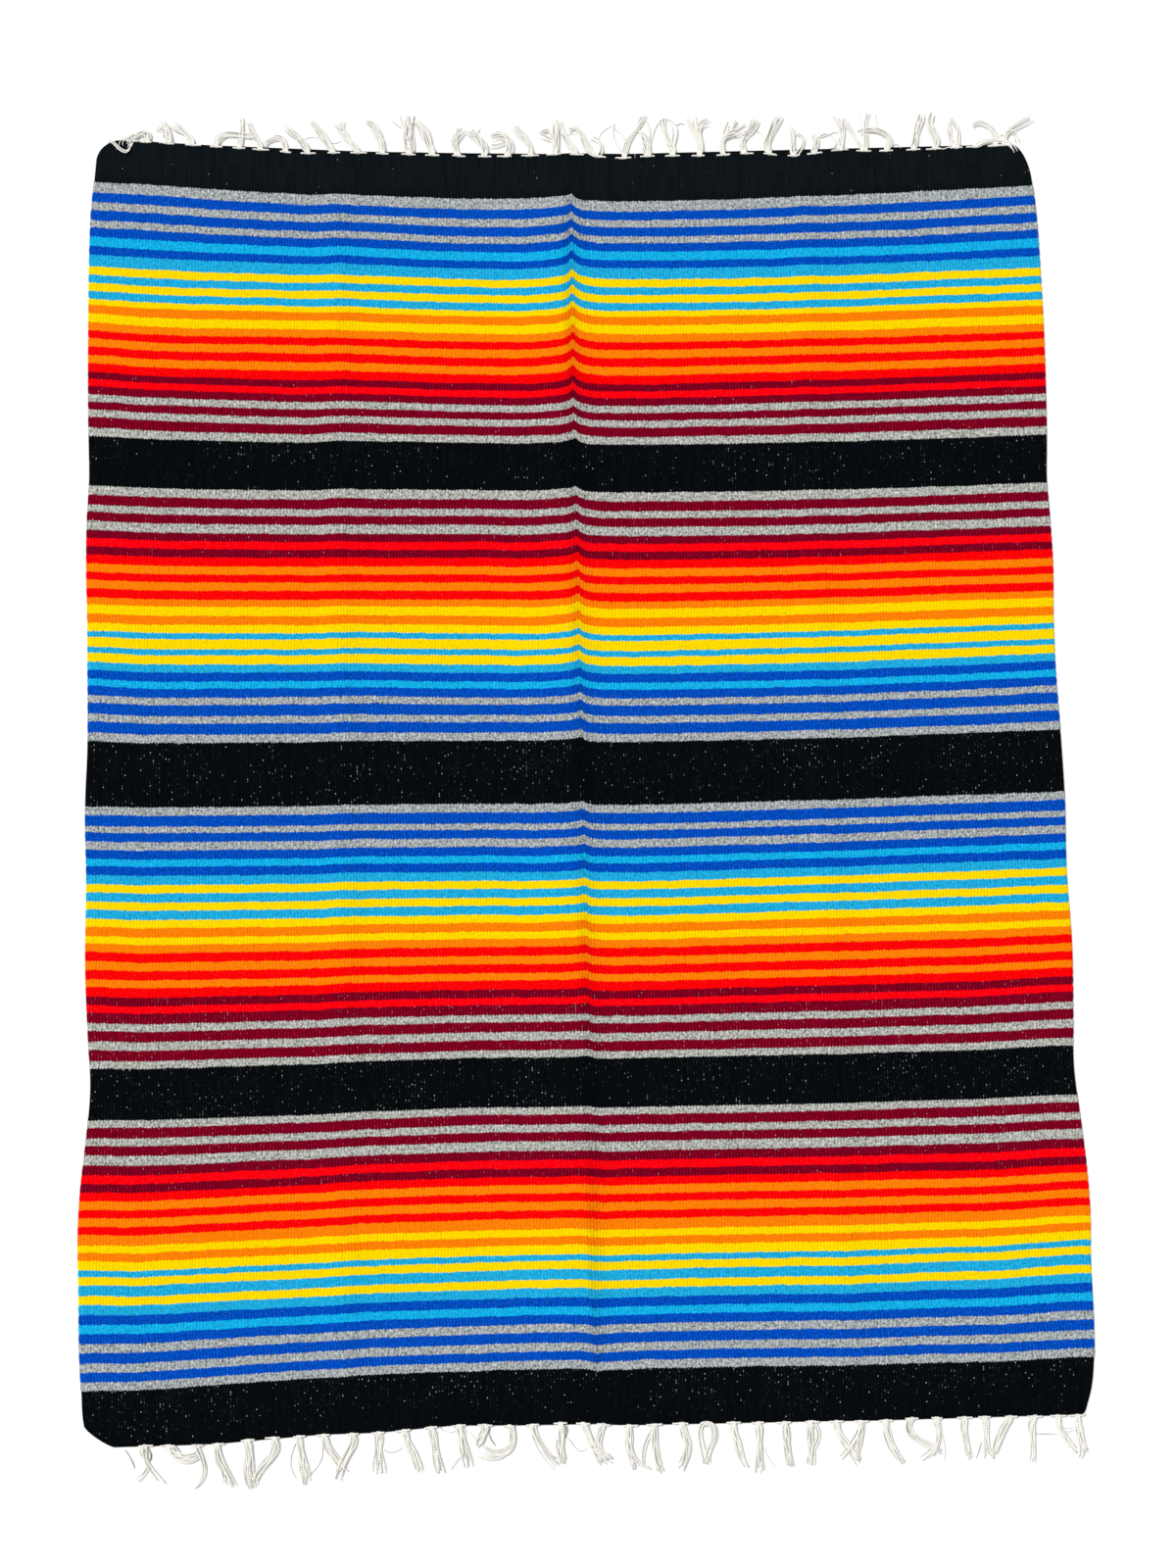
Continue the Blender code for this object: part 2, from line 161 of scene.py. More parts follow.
class Bare(NamedTuple):
    """How much of the white warp shows between dark picks at one distance from the far hem."""
    woven: float     # distance from the far hem
    amount: float    # how many of its dashes show, 0 to 1


class Train(NamedTuple):
    """Two crossing waves whose product lifts the loose cloth, in radians for each metre."""
    strength: float  # height beside the other trains
    across_1: float  # turn of the first wave across the cloth
    woven_1: float   # turn of the first wave along it
    phase_1: float   # where the first wave starts, in radians
    across_2: float  # turn of the second wave across the cloth
    woven_2: float   # turn of the second wave along it
    phase_2: float   # where the second wave starts, in radians


class Grain(NamedTuple):
    """One soft unevenness of a yarn's colour."""
    scale: float     # lumps for each metre
    detail: float    # number of finer layers
    rough: float     # strength of the finer layers
    depth: float     # how much it changes the colour


def table(kind: Callable[..., Row], *rows: Sequence[float]) -> tuple[Row, ...]:
    """Rows of one kind, each from its values in the order of the kind's columns."""
    return tuple(kind(*row) for row in rows)


SECTIONS = table(
    Section,
    (0.000, -0.0200, 0.0250), (0.072, -0.0190, 0.0310), (0.240, -0.0170, 0.0230),
    (0.466, -0.0140, 0.0120), (0.552, -0.0128, 0.0135), (0.750, -0.0100, 0.0110),
    (0.937, -0.0073, 0.0085), (1.030, -0.0055, 0.0065), (1.240, -0.0020, 0.0020),
    (1.424, 0.0007, -0.0030), (1.498, 0.0027, -0.0022), (1.600, 0.0040, -0.0060),
    (1.710, 0.0060, -0.0100), (1.895, 0.0074, -0.0140), (1.976, 0.0071, -0.0150),
)

SIDES = table(
    Sides,
    (0.000, -0.7385, 0.7345), (0.072, -0.7445, 0.7440), (0.120, -0.7495, 0.7480),
    (0.200, -0.7530, 0.7510), (0.300, -0.7545, 0.7530), (0.430, -0.7550, 0.7520),
    (0.480, -0.7545, 0.7510), (0.530, -0.7540, 0.7490), (0.600, -0.7580, 0.7515),
    (0.670, -0.7590, 0.7535), (0.760, -0.7575, 0.7510), (0.820, -0.7575, 0.7510),
    (0.940, -0.7580, 0.7555), (1.030, -0.7620, 0.7580), (1.150, -0.7605, 0.7565),
    (1.270, -0.7625, 0.7605), (1.370, -0.7590, 0.7585), (1.450, -0.7555, 0.7565),
    (1.540, -0.7640, 0.7645), (1.600, -0.7715, 0.7700), (1.670, -0.7755, 0.7730),
    (1.740, -0.7745, 0.7710), (1.840, -0.7735, 0.7720), (1.890, -0.7710, 0.7705),
    (1.930, -0.7690, 0.7655), (1.976, -0.7590, 0.7535),
)

FAR_SWAY = table(
    Sway,
    (-0.760, 0.0), (-0.700, 0.0), (-0.620, -1.0), (-0.520, -2.7), (-0.445, -5.7), (-0.390, -2.6),
    (-0.260, -2.0), (-0.120, -2.3), (-0.055, 0.0), (0.010, 2.6), (0.040, 0.0), (0.085, -4.0),
    (0.140, -1.0), (0.240, -1.0), (0.340, 0.5), (0.370, -3.8), (0.400, -3.2), (0.430, -0.3),
    (0.460, 3.2), (0.520, 0.0), (0.600, -0.6), (0.760, 0.0),
)
NEAR_SWAY = table(
    Sway,
    (-0.760, 0.8), (-0.700, 0.8), (-0.660, -1.8), (-0.580, -2.6), (-0.550, 0.0), (-0.450, 1.3),
    (-0.310, 2.0), (-0.280, 4.0), (-0.170, 4.8), (-0.140, 2.5), (-0.050, 4.0), (0.000, 1.0),
    (0.030, -2.0), (0.070, -2.6), (0.140, -1.2), (0.290, -2.8), (0.350, -2.2), (0.450, -1.8),
    (0.480, 0.4), (0.560, 2.0), (0.630, 3.4), (0.700, 4.8), (0.760, 6.5),
)

FOLDS = table(
    Fold,
    (0.000, 0.0000, -0.006, 0.021), (0.020, 0.0012, -0.006, 0.021), (0.050, 0.0070, -0.006, 0.021),
    (0.100, 0.0110, -0.006, 0.021), (0.200, 0.0115, -0.006, 0.021), (0.470, 0.0115, -0.004, 0.023),
    (0.750, 0.0115, -0.004, 0.024), (1.000, 0.0106, -0.004, 0.024), (1.250, 0.0109, -0.003, 0.023),
    (1.500, 0.0104, -0.001, 0.021), (1.750, 0.0097, 0.002, 0.018), (1.890, 0.0080, 0.003, 0.017),
    (1.930, 0.0050, 0.003, 0.017), (1.956, 0.0010, 0.003, 0.017), (1.976, 0.0000, 0.003, 0.017),
)
LENGTHWISE = (
    Crease(place=-0.365, height=0.0040, width=0.018),
    Crease(place=0.385, height=0.0035, width=0.020),
)
CROSSWISE = Crease(place=0.983, height=0.0040, width=0.020)

DRIFTS = table(
    Drift,
    (0.00, -2.5, 0, -1, 2, 1.2, 1, 9, 13, -2, 0, 0, -2),
    (0.07, -2.5, 0, -1, 2, 1, 1, 11.5, 13, -2, 0, 0, -2),
    (0.13, -1.7, -0.2, 0.4, 3.8, 1, -0.6, 17.5, 11.5, 2, 2, 0.4, -0.7),
    (0.24, -2, -2.6, 0.8, 2.8, 0.8, -1.6, 17.5, 11, 1, 0.4, 0.8, -1.5),
    (0.31, 1.5, -1.4, 2.5, 3.4, 0.7, -1.2, 17.5, 10, 0, 1.5, 1, 0.5),
    (0.40, 5.5, 2.3, 0.4, 3, -0.4, -2.9, 13.5, 9.5, -2.6, 0.3, 2.7, 3.8),
    (0.51, 1.2, -0.8, 0, 4, 3.6, 1, 8.5, 13, -1, -1.2, -0.8, 0.2),
    (0.59, 0.3, -1.2, 0, 2.1, 3, 0.5, 11, 13, -1.4, -2.4, -1.1, -0.8),
    (0.69, -0.4, -1.8, 0.6, 2.2, 2.6, 0.2, 11.5, 13, -2.4, -2, -0.4, -0.9),
    (0.77, 0, -1.8, -0.1, 2.6, 0.9, -1.6, 11.3, 13, -3.8, -2.5, -0.6, -0.1),
    (0.86, 1.2, -2.1, 0.6, 2.6, 0.1, -1.4, 10, 13, -3.9, -3.8, -1.3, 1.5),
    (0.95, -0.6, -2.1, -0.2, 2, 2.2, 1, 6, 12, -2.6, -1.6, -0.1, 1.5),
    (1.10, 1, -0.4, 0.1, 2, 1.3, -0.9, 6.2, 14, -3.4, -1, 1.7, 3.3),
    (1.24, 5, 1.2, 1.1, 3.1, 2.9, 1.5, 5, 13, -2.6, -0.4, 0.7, 3.9),
    (1.36, 4.2, 0.6, 0.8, 3, 3.1, 1.8, 2, 14, -2.7, -1.2, 0.9, 7),
    (1.50, 2, -0.6, 0.4, 2.8, 4.6, 3.2, 0.5, 15, -0.6, -1.7, -0.1, 4.4),
    (1.62, 3.4, -0.8, 1.2, 3.9, 3.7, 3, 0.3, 15, -1.2, -2, -0.7, 6),
    (1.75, 8, 2.5, 1.5, 2.9, 1.5, 1.6, -1.4, 15, -3, -3.7, 0.7, 10.2),
    (1.86, 4.4, 0.4, 2.5, 4.2, 2.6, 3, -5, 14, -1.5, -2.6, 0.9, 9),
    (1.98, 3, 0, 2, 4, 3.4, 3.5, -4, 15, -2, -2.5, 0, 8),
)
WARP_SHOWS = table(
    Bare,
    (0.000, 0.02), (0.070, 0.03), (0.380, 0.20), (0.460, 0.30), (0.480, 0.35), (0.530, 0.20), (0.560, 0.30),
    (0.650, 0.35), (0.930, 0.55), (0.950, 0.60), (0.970, 0.35), (0.983, 0.65), (0.990, 0.30), (1.020, 0.40),
    (1.380, 0.75), (1.425, 0.55), (1.440, 0.50), (1.470, 0.40), (1.490, 0.55), (1.560, 0.60), (1.650, 0.50),
    (1.890, 0.75), (1.910, 0.60), (1.950, 0.25), (1.976, 0.12),
)
WAVES = table(
    Train,
    (1.0, 21, 6, 0.8, -5, 9, 0.0), (0.6, 43, -11, 2.0, 8, 17, 1.0), (0.3, 90, 30, 0.0, -22, 41, 0.0),
)
DRIFT_LEFT = (("edge_left", -0.76), ("side_left", -0.66), ("left", -0.42), ("crease_left", -0.34),
              ("inner_left", -0.15), ("fold_left", -0.06))
DRIFT_RIGHT = (("fold_right", 0.08), ("right", 0.38), ("side_right", 0.58), ("edge_right", 0.76))

FAR_LOCKS = table(
    Lock,
    (-684, -7, -12, -17, -4, -25, -1, 1, 2.0, 2), (-662, 1, 9, -10, 6, -20, -6, 3, 6.0, 4),
    (-662, -1, 8, -9, 8, -15, 13, 1, 3.0, 3), (-662, -8, 8, -20, 4, -25, -5, 1, 1.5, 1),
    (-628, 1, 8, -3, 15, -10, 20, 4, 8.0, 9), (-628, 1, 8, 0, 15, -3, 22, 1, 3.0, 2),
    (-588, -5, 10, -13, 17, -22, 24, 3, 6.0, 6), (-550, 6, 11, 22, 12, 40, 10, 3, 5.0, 5),
    (-514, 2, 12, 3, 23, 2, 33, 2, 4.0, 3), (-479, -4, 10, -9, 20, -13, 30, 2, 4.5, 4),
    (-440, -2, 10, -10, 15, -24, 6, 3, 5.0, 5), (-404, -6, 12, -15, 20, -25, 30, 3, 6.5, 4),
    (-363, -9, 13, -16, 23, -26, 34, 3, 6.0, 4), (-324, -8, 11, -15, 20, -26, 33, 2, 5.5, 3),
    (-324, -8, 11, -16, 22, -15, 34, 1, 3.0, 2), (-286, -2, 14, -8, 26, -18, 35, 3, 6.0, 5),
    (-243, -1, 14, -1, 27, -1, 41, 5, 10.0, 14), (-206, -4, 12, -9, 24, -18, 37, 4, 7.5, 9),
    (-164, -5, 10, -3, 20, 2, 30, 3, 6.0, 9), (-125, -1, 10, -7, 20, -17, 27, 3, 6.0, 7),
    (-125, -2, 11, -8, 20, -5, 30, 1, 3.0, 2), (-91, 4, 11, -1, 21, -16, 21, 3, 6.0, 4),
    (-91, 2, 13, -7, 12, -17, 12, 1, 3.0, 2), (-52, -1, 11, -9, 22, -18, 32, 3, 6.0, 4),
    (-13, 1, 12, 1, 24, 2, 38, 2, 5.0, 3), (-13, -1, 12, -4, 24, -15, 22, 2, 4.0, 2),
    (-13, -1, 11, -6, 16, -15, 21, 1, 2.5, 2), (20, -5, 10, -12, 22, -18, 35, 3, 6.0, 4),
    (55, -12, 13, -19, 28, -30, 28, 2, 5.0, 4), (55, 4, 9, 0, 17, -9, 19, 1, 3.0, 2),
    (97, 5, 17, 14, 31, 21, 45, 2, 5.0, 3), (135, -1, 9, -4, 19, -9, 26, 3, 7.0, 5),
    (174, -3, 13, -9, 27, -9, 41, 3, 6.0, 3), (174, 1, 14, 3, 27, -5, 39, 1, 4.0, 3),
    (216, -1, 15, -6, 28, -12, 42, 2, 4.0, 3), (216, 0, 15, -2, 28, -4, 42, 1, 3.5, 2),
    (216, 1, 15, 1, 29, 12, 37, 2, 4.0, 5), (255, -1, 12, 2, 23, 5, 36, 1, 4.0, 2),
    (255, -1, 13, 5, 22, 14, 37, 2, 4.0, 3), (255, -1, 13, 5, 21, 23, 31, 1, 3.0, 2),
    (255, -1, 13, 8, 20, 25, 22, 1, 3.0, 2), (290, -3, 12, 4, 22, 12, 35, 4, 6.0, 7),
    (329, -2, 12, 3, 26, 12, 40, 3, 7.0, 5), (367, -1, 10, 0, 20, -5, 31, 2, 4.0, 4),
    (367, 7, 6, 10, 16, 2, 23, 1, 3.0, 2), (399, 1, 6, 2, 13, -2, 20, 3, 5.5, 4),
    (440, 2, 12, 2, 24, 1, 36, 3, 5.0, 6), (440, 2, 13, -1, 27, -12, 38, 1, 3.0, 3),
    (479, -7, 10, -14, 22, -21, 34, 2, 3.5, 3), (479, 2, 12, 2, 26, 4, 40, 2, 3.5, 3),
    (512, 2, 16, -13, 23, -28, 17, 3, 5.5, 3), (557, 2, 12, 6, 25, 7, 38, 3, 6.0, 6),
    (589, 1, 13, -3, 25, 1, 38, 3, 6.5, 7), (625, 2, 10, 1, 21, -8, 31, 2, 4.0, 3),
    (625, -5, 8, -6, 17, -9, 28, 2, 4.0, 3), (654, 12, 4, 29, 4, 42, -8, 2, 4.0, 3),
    (685, -1, 14, -13, 24, -21, 18, 3, 5.0, 4), (702, 3, 13, 15, 21, 27, 29, 2, 4.0, 6),
    (702, 2, 11, 8, 13, 12, 3, 1, 3.0, 2),
)
FAR_WISPS = table(
    Wisp,
    (-404, -3, 15, 1, 17, 5, 17, 10, 16, 5, 0.5), (-363, -6, 12, 0, 10, 4, 11, 9, 13, 5, 0.5),
    (-243, -8, 28, -11, 30, -15, 33, -19, 36, 6, 0.6), (-13, 5, 21, 12, 20, 20, 21, 26, 20, 4, 0.5),
    (55, 2, 18, 4, 24, 10, 29, 18, 34, 5, 0.5), (55, 24, 6, 17, 19, 17, 28, 18, 36, 6, 0.5),
    (97, 1, 19, -3, 26, -9, 31, -10, 34, 5, 0.5), (97, 21, 44, 25, 35, 27, 27, 26, 17, 11, 0.1),
    (135, 1, 7, 5, 20, 9, 31, 15, 38, 8, 0.4), (216, -14, 33, -18, 34, -21, 33, -24, 32, 6, 0.6),
    (255, 0, 12, 9, 19, 14, 18, 19, 13, 7, 0.4), (290, 9, 23, 14, 22, 17, 19, 20, 15, 6, 0.5),
    (399, 3, 15, 17, 19, 22, 8, 8, 7, 10, 0.1), (399, 4, 17, 12, 18, 18, 21, 25, 21, 10, 0.1),
    (479, 2, 22, 0, 28, -3, 34, -7, 38, 9, 0.2), (512, -7, 24, -8, 29, -9, 34, -9, 39, 10, 0.2),
    (512, 5, 3, 9, 6, 13, 6, 16, 1, 7, 0.4), (589, 3, 4, 8, -1, 14, 0, 20, 3, 9, 0.0),
    (685, 7, 10, 12, 13, 17, 13, 22, 11, 9, 0.2),
)

NEAR_LOCKS = table(
    Lock,
    (-674, -2, 10, 3, 20, -9, 35, 2, 3.5, 2), (-674, 0, 12, 5, 22, 20, 40, 1, 3.0, 5),
    (-638, 5, 8, 16, 13, 31, 12, 4, 9.0, 10), (-595, 4, 13, 7, 27, -5, 44, 1, 3.0, 3),
    (-564, -1, 14, 5, 28, 9, 43, 2, 4.0, 4), (-564, 2, 14, 9, 28, 18, 43, 2, 4.0, 4),
    (-519, 1, 16, 1, 33, 3, 49, 4, 8.0, 7), (-479, -1, 15, -11, 29, -21, 46, 3, 6.5, 4),
    (-441, 2, 16, 5, 33, 7, 50, 4, 7.0, 7), (-403, 5, 14, 13, 27, 24, 39, 3, 6.5, 5),
    (-360, -1, 13, -8, 27, -16, 46, 3, 7.0, 5), (-320, 0, 14, 0, 28, 1, 42, 5, 9.0, 11),
    (-281, 4, 14, 11, 29, 15, 43, 4, 7.5, 6), (-240, 3, 16, 6, 32, 8, 47, 4, 7.5, 7),
    (-198, 3, 13, 6, 28, 9, 43, 4, 7.5, 9), (-158, -1, 7, -4, 14, -10, 21, 3, 7.0, 3),
    (-122, 3, 13, -6, 27, -30, 18, 3, 6.0, 4), (-122, 3, 14, -7, 30, -33, 28, 2, 4.0, 4),
    (-86, 2, 9, 10, 24, 26, 42, 4, 6.5, 9), (-43, -1, 14, -1, 27, 3, 41, 3, 6.5, 9),
    (-10, 5, 12, 13, 27, 31, 39, 2, 5.5, 8), (-10, 6, 14, 12, 29, 20, 43, 2, 4.0, 4),
    (23, -6, 11, -6, 24, 7, 36, 3, 6.0, 5), (61, -1, 15, 1, 30, 5, 45, 3, 6.5, 5),
    (61, 0, 18, 4, 34, 21, 45, 1, 3.0, 2), (99, 0, 16, 1, 33, 4, 49, 3, 6.5, 6),
    (99, -3, 6, -10, 20, -11, 42, 1, 3.0, 2), (140, 4, 15, 5, 31, -1, 49, 3, 6.5, 6),
    (140, 3, 15, 2, 30, -7, 43, 1, 3.0, 2), (178, -7, 10, -5, 26, -4, 42, 1, 3.0, 4),
    (178, 8, 11, 3, 26, 0, 42, 3, 5.0, 6), (219, 1, 15, 6, 31, 14, 47, 3, 6.5, 6),
    (257, 0, 17, -1, 34, -3, 51, 3, 6.0, 5), (257, 1, 18, 1, 35, 6, 49, 1, 3.0, 2),
    (297, 0, 15, 2, 30, 5, 45, 3, 6.5, 6), (336, -1, 15, -1, 30, -2, 44, 3, 6.0, 8),
    (336, 7, 10, 6, 22, 0, 31, 1, 3.0, 2), (376, 2, 13, 11, 27, 21, 44, 3, 6.5, 5),
    (412, 0, 12, -3, 25, -5, 40, 3, 5.5, 4), (412, -3, 10, -11, 24, -23, 37, 1, 3.0, 3),
    (451, 0, 13, 6, 29, 17, 44, 3, 6.5, 5), (491, -3, 13, 10, 25, 30, 34, 3, 6.0, 4),
    (528, 0, 14, -2, 28, -17, 42, 2, 4.5, 3), (528, 1, 14, -1, 29, -8, 40, 2, 4.0, 3),
    (570, -1, 13, 0, 27, 6, 43, 3, 6.0, 5), (601, 0, 13, 1, 27, 3, 41, 3, 6.0, 7),
    (640, -7, 11, -15, 25, -18, 42, 3, 6.5, 5), (678, -5, 12, -4, 27, -5, 46, 3, 5.5, 3),
    (712, 1, 13, 8, 25, 20, 37, 2, 4.5, 3), (742, 0, 14, 2, 28, 1, 44, 2, 5.0, 3),
    (742, 1, 14, 4, 27, 8, 40, 2, 4.5, 4),
)
NEAR_WISPS = table(
    Wisp,
    (-704, 0, 4, 4, 10, 8, 18, 9, 24, 7, 0.9), (-674, 0, 0, 5, 7, 6, 12, 5, 17, 11, 1.0),
    (-595, 0, 6, 4, 12, 7, 19, 7, 25, 8, 0.9), (-441, -1, 3, -7, 18, -8, 32, 0, 46, 6, 0.6),
    (-441, 23, 4, 24, 20, 19, 31, 8, 43, 6, 0.6), (-320, 6, 18, 11, 21, 18, 20, 25, 16, 6, 0.6),
    (-240, 9, 1, 14, 5, 21, 6, 28, 2, 9, 0.3), (-198, 4, 28, 0, 34, -5, 40, -9, 46, 6, 0.6),
    (-158, -21, 5, -15, 9, -11, 13, -9, 20, 9, 0.2), (-122, -20, 1, -20, 9, -17, 16, -12, 22, 8, 0.8),
    (-43, 5, 4, 6, 8, 5, 12, 4, 16, 14, 0.9), (-43, 7, 16, 13, 24, 18, 29, 27, 27, 6, 0.6),
    (257, 2, 20, 6, 29, 11, 39, 17, 48, 8, 0.3), (491, -4, 1, -5, 6, -5, 11, -3, 16, 8, 1.0),
    (528, 4, 2, 5, 17, 7, 30, 6, 45, 9, 0.3), (601, -4, 26, -6, 31, -8, 37, -12, 44, 7, 0.7),
    (678, 0, 18, 7, 19, 14, 19, 22, 20, 6, 0.7), (712, 1, 14, 5, 13, 10, 14, 15, 13, 6, 0.5),
    (712, 2, 16, 6, 17, 11, 17, 16, 15, 6, 0.5),
)


class Yarn(Enum):
    """The weft yarns by the letter that stands for each in a stripe order."""
    BLACK = "K"
    GREY = "G"
    PALE_GREY = "g"
    BLUE = "B"
    SKY = "L"
    BRIGHT_SKY = "l"
    YELLOW = "Y"
    GOLD = "y"
    ORANGE = "O"
    RED = "R"
    CRIMSON = "r"
    MAROON = "M"


@dataclass(frozen=True)
class Dye:
    """How one weft yarn looks once it is woven.

    colour is the shade of the lit cloth in 0 to 255, heather how strongly light and dark fibres mottle it,
    cover how well its picks hide the white warp, dots how many light slubs it has, and ribs how dark the
    painted shade in the grooves between its ribs is.
    """
    colour: tuple[int, int, int]
    heather: float
    cover: float
    dots: float
    ribs: float


DYES = {
    Yarn.BLACK: Dye((8, 11, 14), 0.0, 0.0, 0.0, 0.0),
    Yarn.GREY: Dye((165, 171, 172), 1.0, 1.0, 0.0, 0.12),
    Yarn.PALE_GREY: Dye((176, 177, 171), 1.0, 1.0, 0.0, 0.12),
    Yarn.BLUE: Dye((0, 75, 190), 0.50, 0.96, 0.5, 0.22),
    Yarn.SKY: Dye((28, 170, 220), 0.45, 1.0, 0.9, 0.10),
    Yarn.BRIGHT_SKY: Dye((16, 174, 229), 0.45, 1.0, 0.9, 0.10),
    Yarn.YELLOW: Dye((254, 217, 0), 0.20, 1.0, 0.0, 0.05),
    Yarn.GOLD: Dye((254, 214, 0), 0.20, 1.0, 0.0, 0.05),
    Yarn.ORANGE: Dye((254, 127, 2), 0.25, 1.0, 0.1, 0.05),
    Yarn.RED: Dye((252, 1, 2), 0.15, 0.97, 0.1, 0.06),
    Yarn.CRIMSON: Dye((252, 1, 12), 0.15, 0.95, 0.1, 0.06),
    Yarn.MAROON: Dye((131, 3, 34), 0.45, 0.40, 0.0, 0.50),
}


class Band(NamedTuple):
    """One rainbow band between two black ones."""
    start: float               # woven place of its first stripe
    order: str                 # the letters of its stripes
    widths: tuple[float, ...]  # their widths in millimetres

    def edges(self) -> Array:
        """Where its stripes meet, from its start, with its first edge and its last."""
        return np.concatenate([[0.0], np.cumsum(self.widths)]) * MM


RAINBOW = "GBGBGBlBLYLYLYOyORORORMrMgMgMg"
BANDS = (
    Band(0.0713, RAINBOW, (19.5, 15, 13, 14.5, 12.5, 13.5, 13.5, 12.5, 17, 12.5, 13.5, 12, 12, 9.5, 14.5,
                           14, 12.4, 12.2, 13.8, 13.2, 12.8, 13.1, 10.5, 12, 11.5, 13, 10, 12.5, 14.5, 15)),
    Band(0.5398, RAINBOW[::-1], (17, 13, 14, 12, 15, 12.5, 12, 12, 13.6, 13.3, 12.7, 12.8, 13.2, 10.9, 14.5,
                                 13.5, 13, 10, 15, 10, 14, 12, 13, 12, 12.5, 13.5, 15, 13, 16, 14.5)),
    Band(1.0298, RAINBOW, (15, 15, 11, 13.5, 13, 13.5, 12, 13, 14, 13.5, 13, 13.5, 13.5, 13, 13,
                           12, 11.9, 13.2, 12.8, 13.2, 12.8, 13.6, 12.5, 11.5, 13, 13.5, 13.5, 14, 14, 14)),
    Band(1.4976, RAINBOW[::-1], (14, 13, 13, 12.5, 16, 13, 13.5, 12, 12.1, 13.8, 11.2, 13.8, 11.9, 15.2, 12,
                                 12, 14, 8.5, 14, 14, 13.5, 15, 13, 13.5, 13, 14, 14, 13.5, 13, 15)),
)


def linear(shade: Sequence[float], light: float = 1.0) -> Colour:
    """Turn a lit shade into the base colour that shows it.

    Each channel goes through the display curve backwards: ((c + 0.055) / 1.055) to the power 2.4, or
    c / 12.92 near black. It is then divided by how bright the light makes a white surface.

    Args:
        shade: Red, green and blue as shown, 0 to 255.
        light: Brightness of a white surface in the scene, 1 for display white.

    Returns:
        Linear red, green and blue.
    """
    shown = np.asarray(shade, dtype=float) / 255
    base = np.where(shown <= 0.04045, shown / 12.92, ((shown + 0.055) / 1.055) ** 2.4)
    return tuple(float(channel) for channel in base / light)


def column(rows: Sequence[Any], name: str) -> Array:
    """One column of a table."""
    return np.array([getattr(row, name) for row in rows], dtype=float)


def read(rows: Sequence[Any], name: str, spot: Array) -> Array:
    """Read one column of a table at places of its first column.

    Between two rows runs a cubic curve through both values, with each row's slope taken from its neighbours.

    Args:
        rows: Table rows, their first column rising.
        name: The column.
        spot: Where to read it.

    Returns:
        The column's values there.
    """
    place = np.array([row[0] for row in rows])
    value = column(rows, name)
    slope = np.gradient(value, place)
    at = np.clip(np.searchsorted(place, spot, side="right") - 1, 0, len(rows) - 2)
    span = place[at + 1] - place[at]
    t = (spot - place[at]) / span
    start = value[at] * (1 + 2 * t) * (1 - t) ** 2 + slope[at] * span * t * (1 - t) ** 2
    end = value[at + 1] * t * t * (3 - 2 * t) - slope[at + 1] * span * t * t * (1 - t)
    return start + end


def fade(distance: Array, length: float) -> Array:
    """Rise smoothly from 0 at an edge to 1 at a length inside it, as 3 t squared minus 2 t cubed.

    Args:
        distance: Distance from the edge.
        length: Length of the rise.

    Returns:
        Values from 0 to 1.
    """
    t = np.clip(distance / length, 0, 1)
    return t * t * (3 - 2 * t)


def add_object(name: str, data: bpy.types.ID) -> bpy.types.Object:
    """Put a new object into the scene.

    Args:
        name: Its name.
        data: Its mesh, light or camera.

    Returns:
        The object.
    """
    thing = bpy.data.objects.new(name, data)
    bpy.context.scene.collection.objects.link(thing)
    return thing


def add_piece(name: str, points: Array, faces: list[list[int]],
              material: bpy.types.Material) -> bpy.types.Object:
    """Make a smooth-shaded mesh object at the origin that rides on the part's body.

    Args:
        name: Name of the object and its mesh.
        points: Vertices, one row each.
        faces: Vertex numbers of each face.
        material: Its finish.

    Returns:
        The new object.
    """
    mesh = bpy.data.meshes.new(name)
    mesh.from_pydata(points.reshape(-1, 3).tolist(), [], faces)
    mesh.shade_smooth()
    mesh.materials.append(material)
    piece = add_object(name, mesh)
    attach(piece, BODY)
    return piece


def add_map(mesh: bpy.types.Mesh, name: str, u: Array, v: Array) -> None:
    """Give a mesh a UV map from one pair of values per vertex.

    Args:
        mesh: The mesh.
        name: Name of the map.
        u: First value of each vertex.
        v: Second value of each vertex.
    """
    corner = np.empty(len(mesh.loops), dtype=np.int32)
    mesh.loops.foreach_get("vertex_index", corner)
    pairs = np.stack([u.ravel()[corner], v.ravel()[corner]], axis=-1)
    mesh.uv_layers.new(name=name).uv.foreach_set("vector", pairs.astype(np.float32).ravel())


Value = Union["Wire", float]


class Wire:
    """An output socket that takes part in arithmetic: each operator adds one Math node."""

    def __init__(self, tree: "Tree", socket: bpy.types.NodeSocket) -> None:
        """Wrap a socket of a tree."""
        self.tree = tree
        self.socket = socket

    def __add__(self, other: Value) -> "Wire":
        """This value plus another."""
        return self.tree.math("ADD", self, other)

    def __radd__(self, other: Value) -> "Wire":
        """Another value plus this one."""
        return self.tree.math("ADD", other, self)

    def __sub__(self, other: Value) -> "Wire":
        """This value minus another."""
        return self.tree.math("SUBTRACT", self, other)

    def __rsub__(self, other: Value) -> "Wire":
        """Another value minus this one."""
        return self.tree.math("SUBTRACT", other, self)

    def __mul__(self, other: Value) -> "Wire":
        """This value times another."""
        return self.tree.math("MULTIPLY", self, other)

    def __rmul__(self, other: Value) -> "Wire":
        """Another value times this one."""
        return self.tree.math("MULTIPLY", other, self)

    def __lt__(self, other: Value) -> "Wire":
        """1 where this value is less than another, else 0."""
        return self.tree.math("LESS_THAN", self, other)


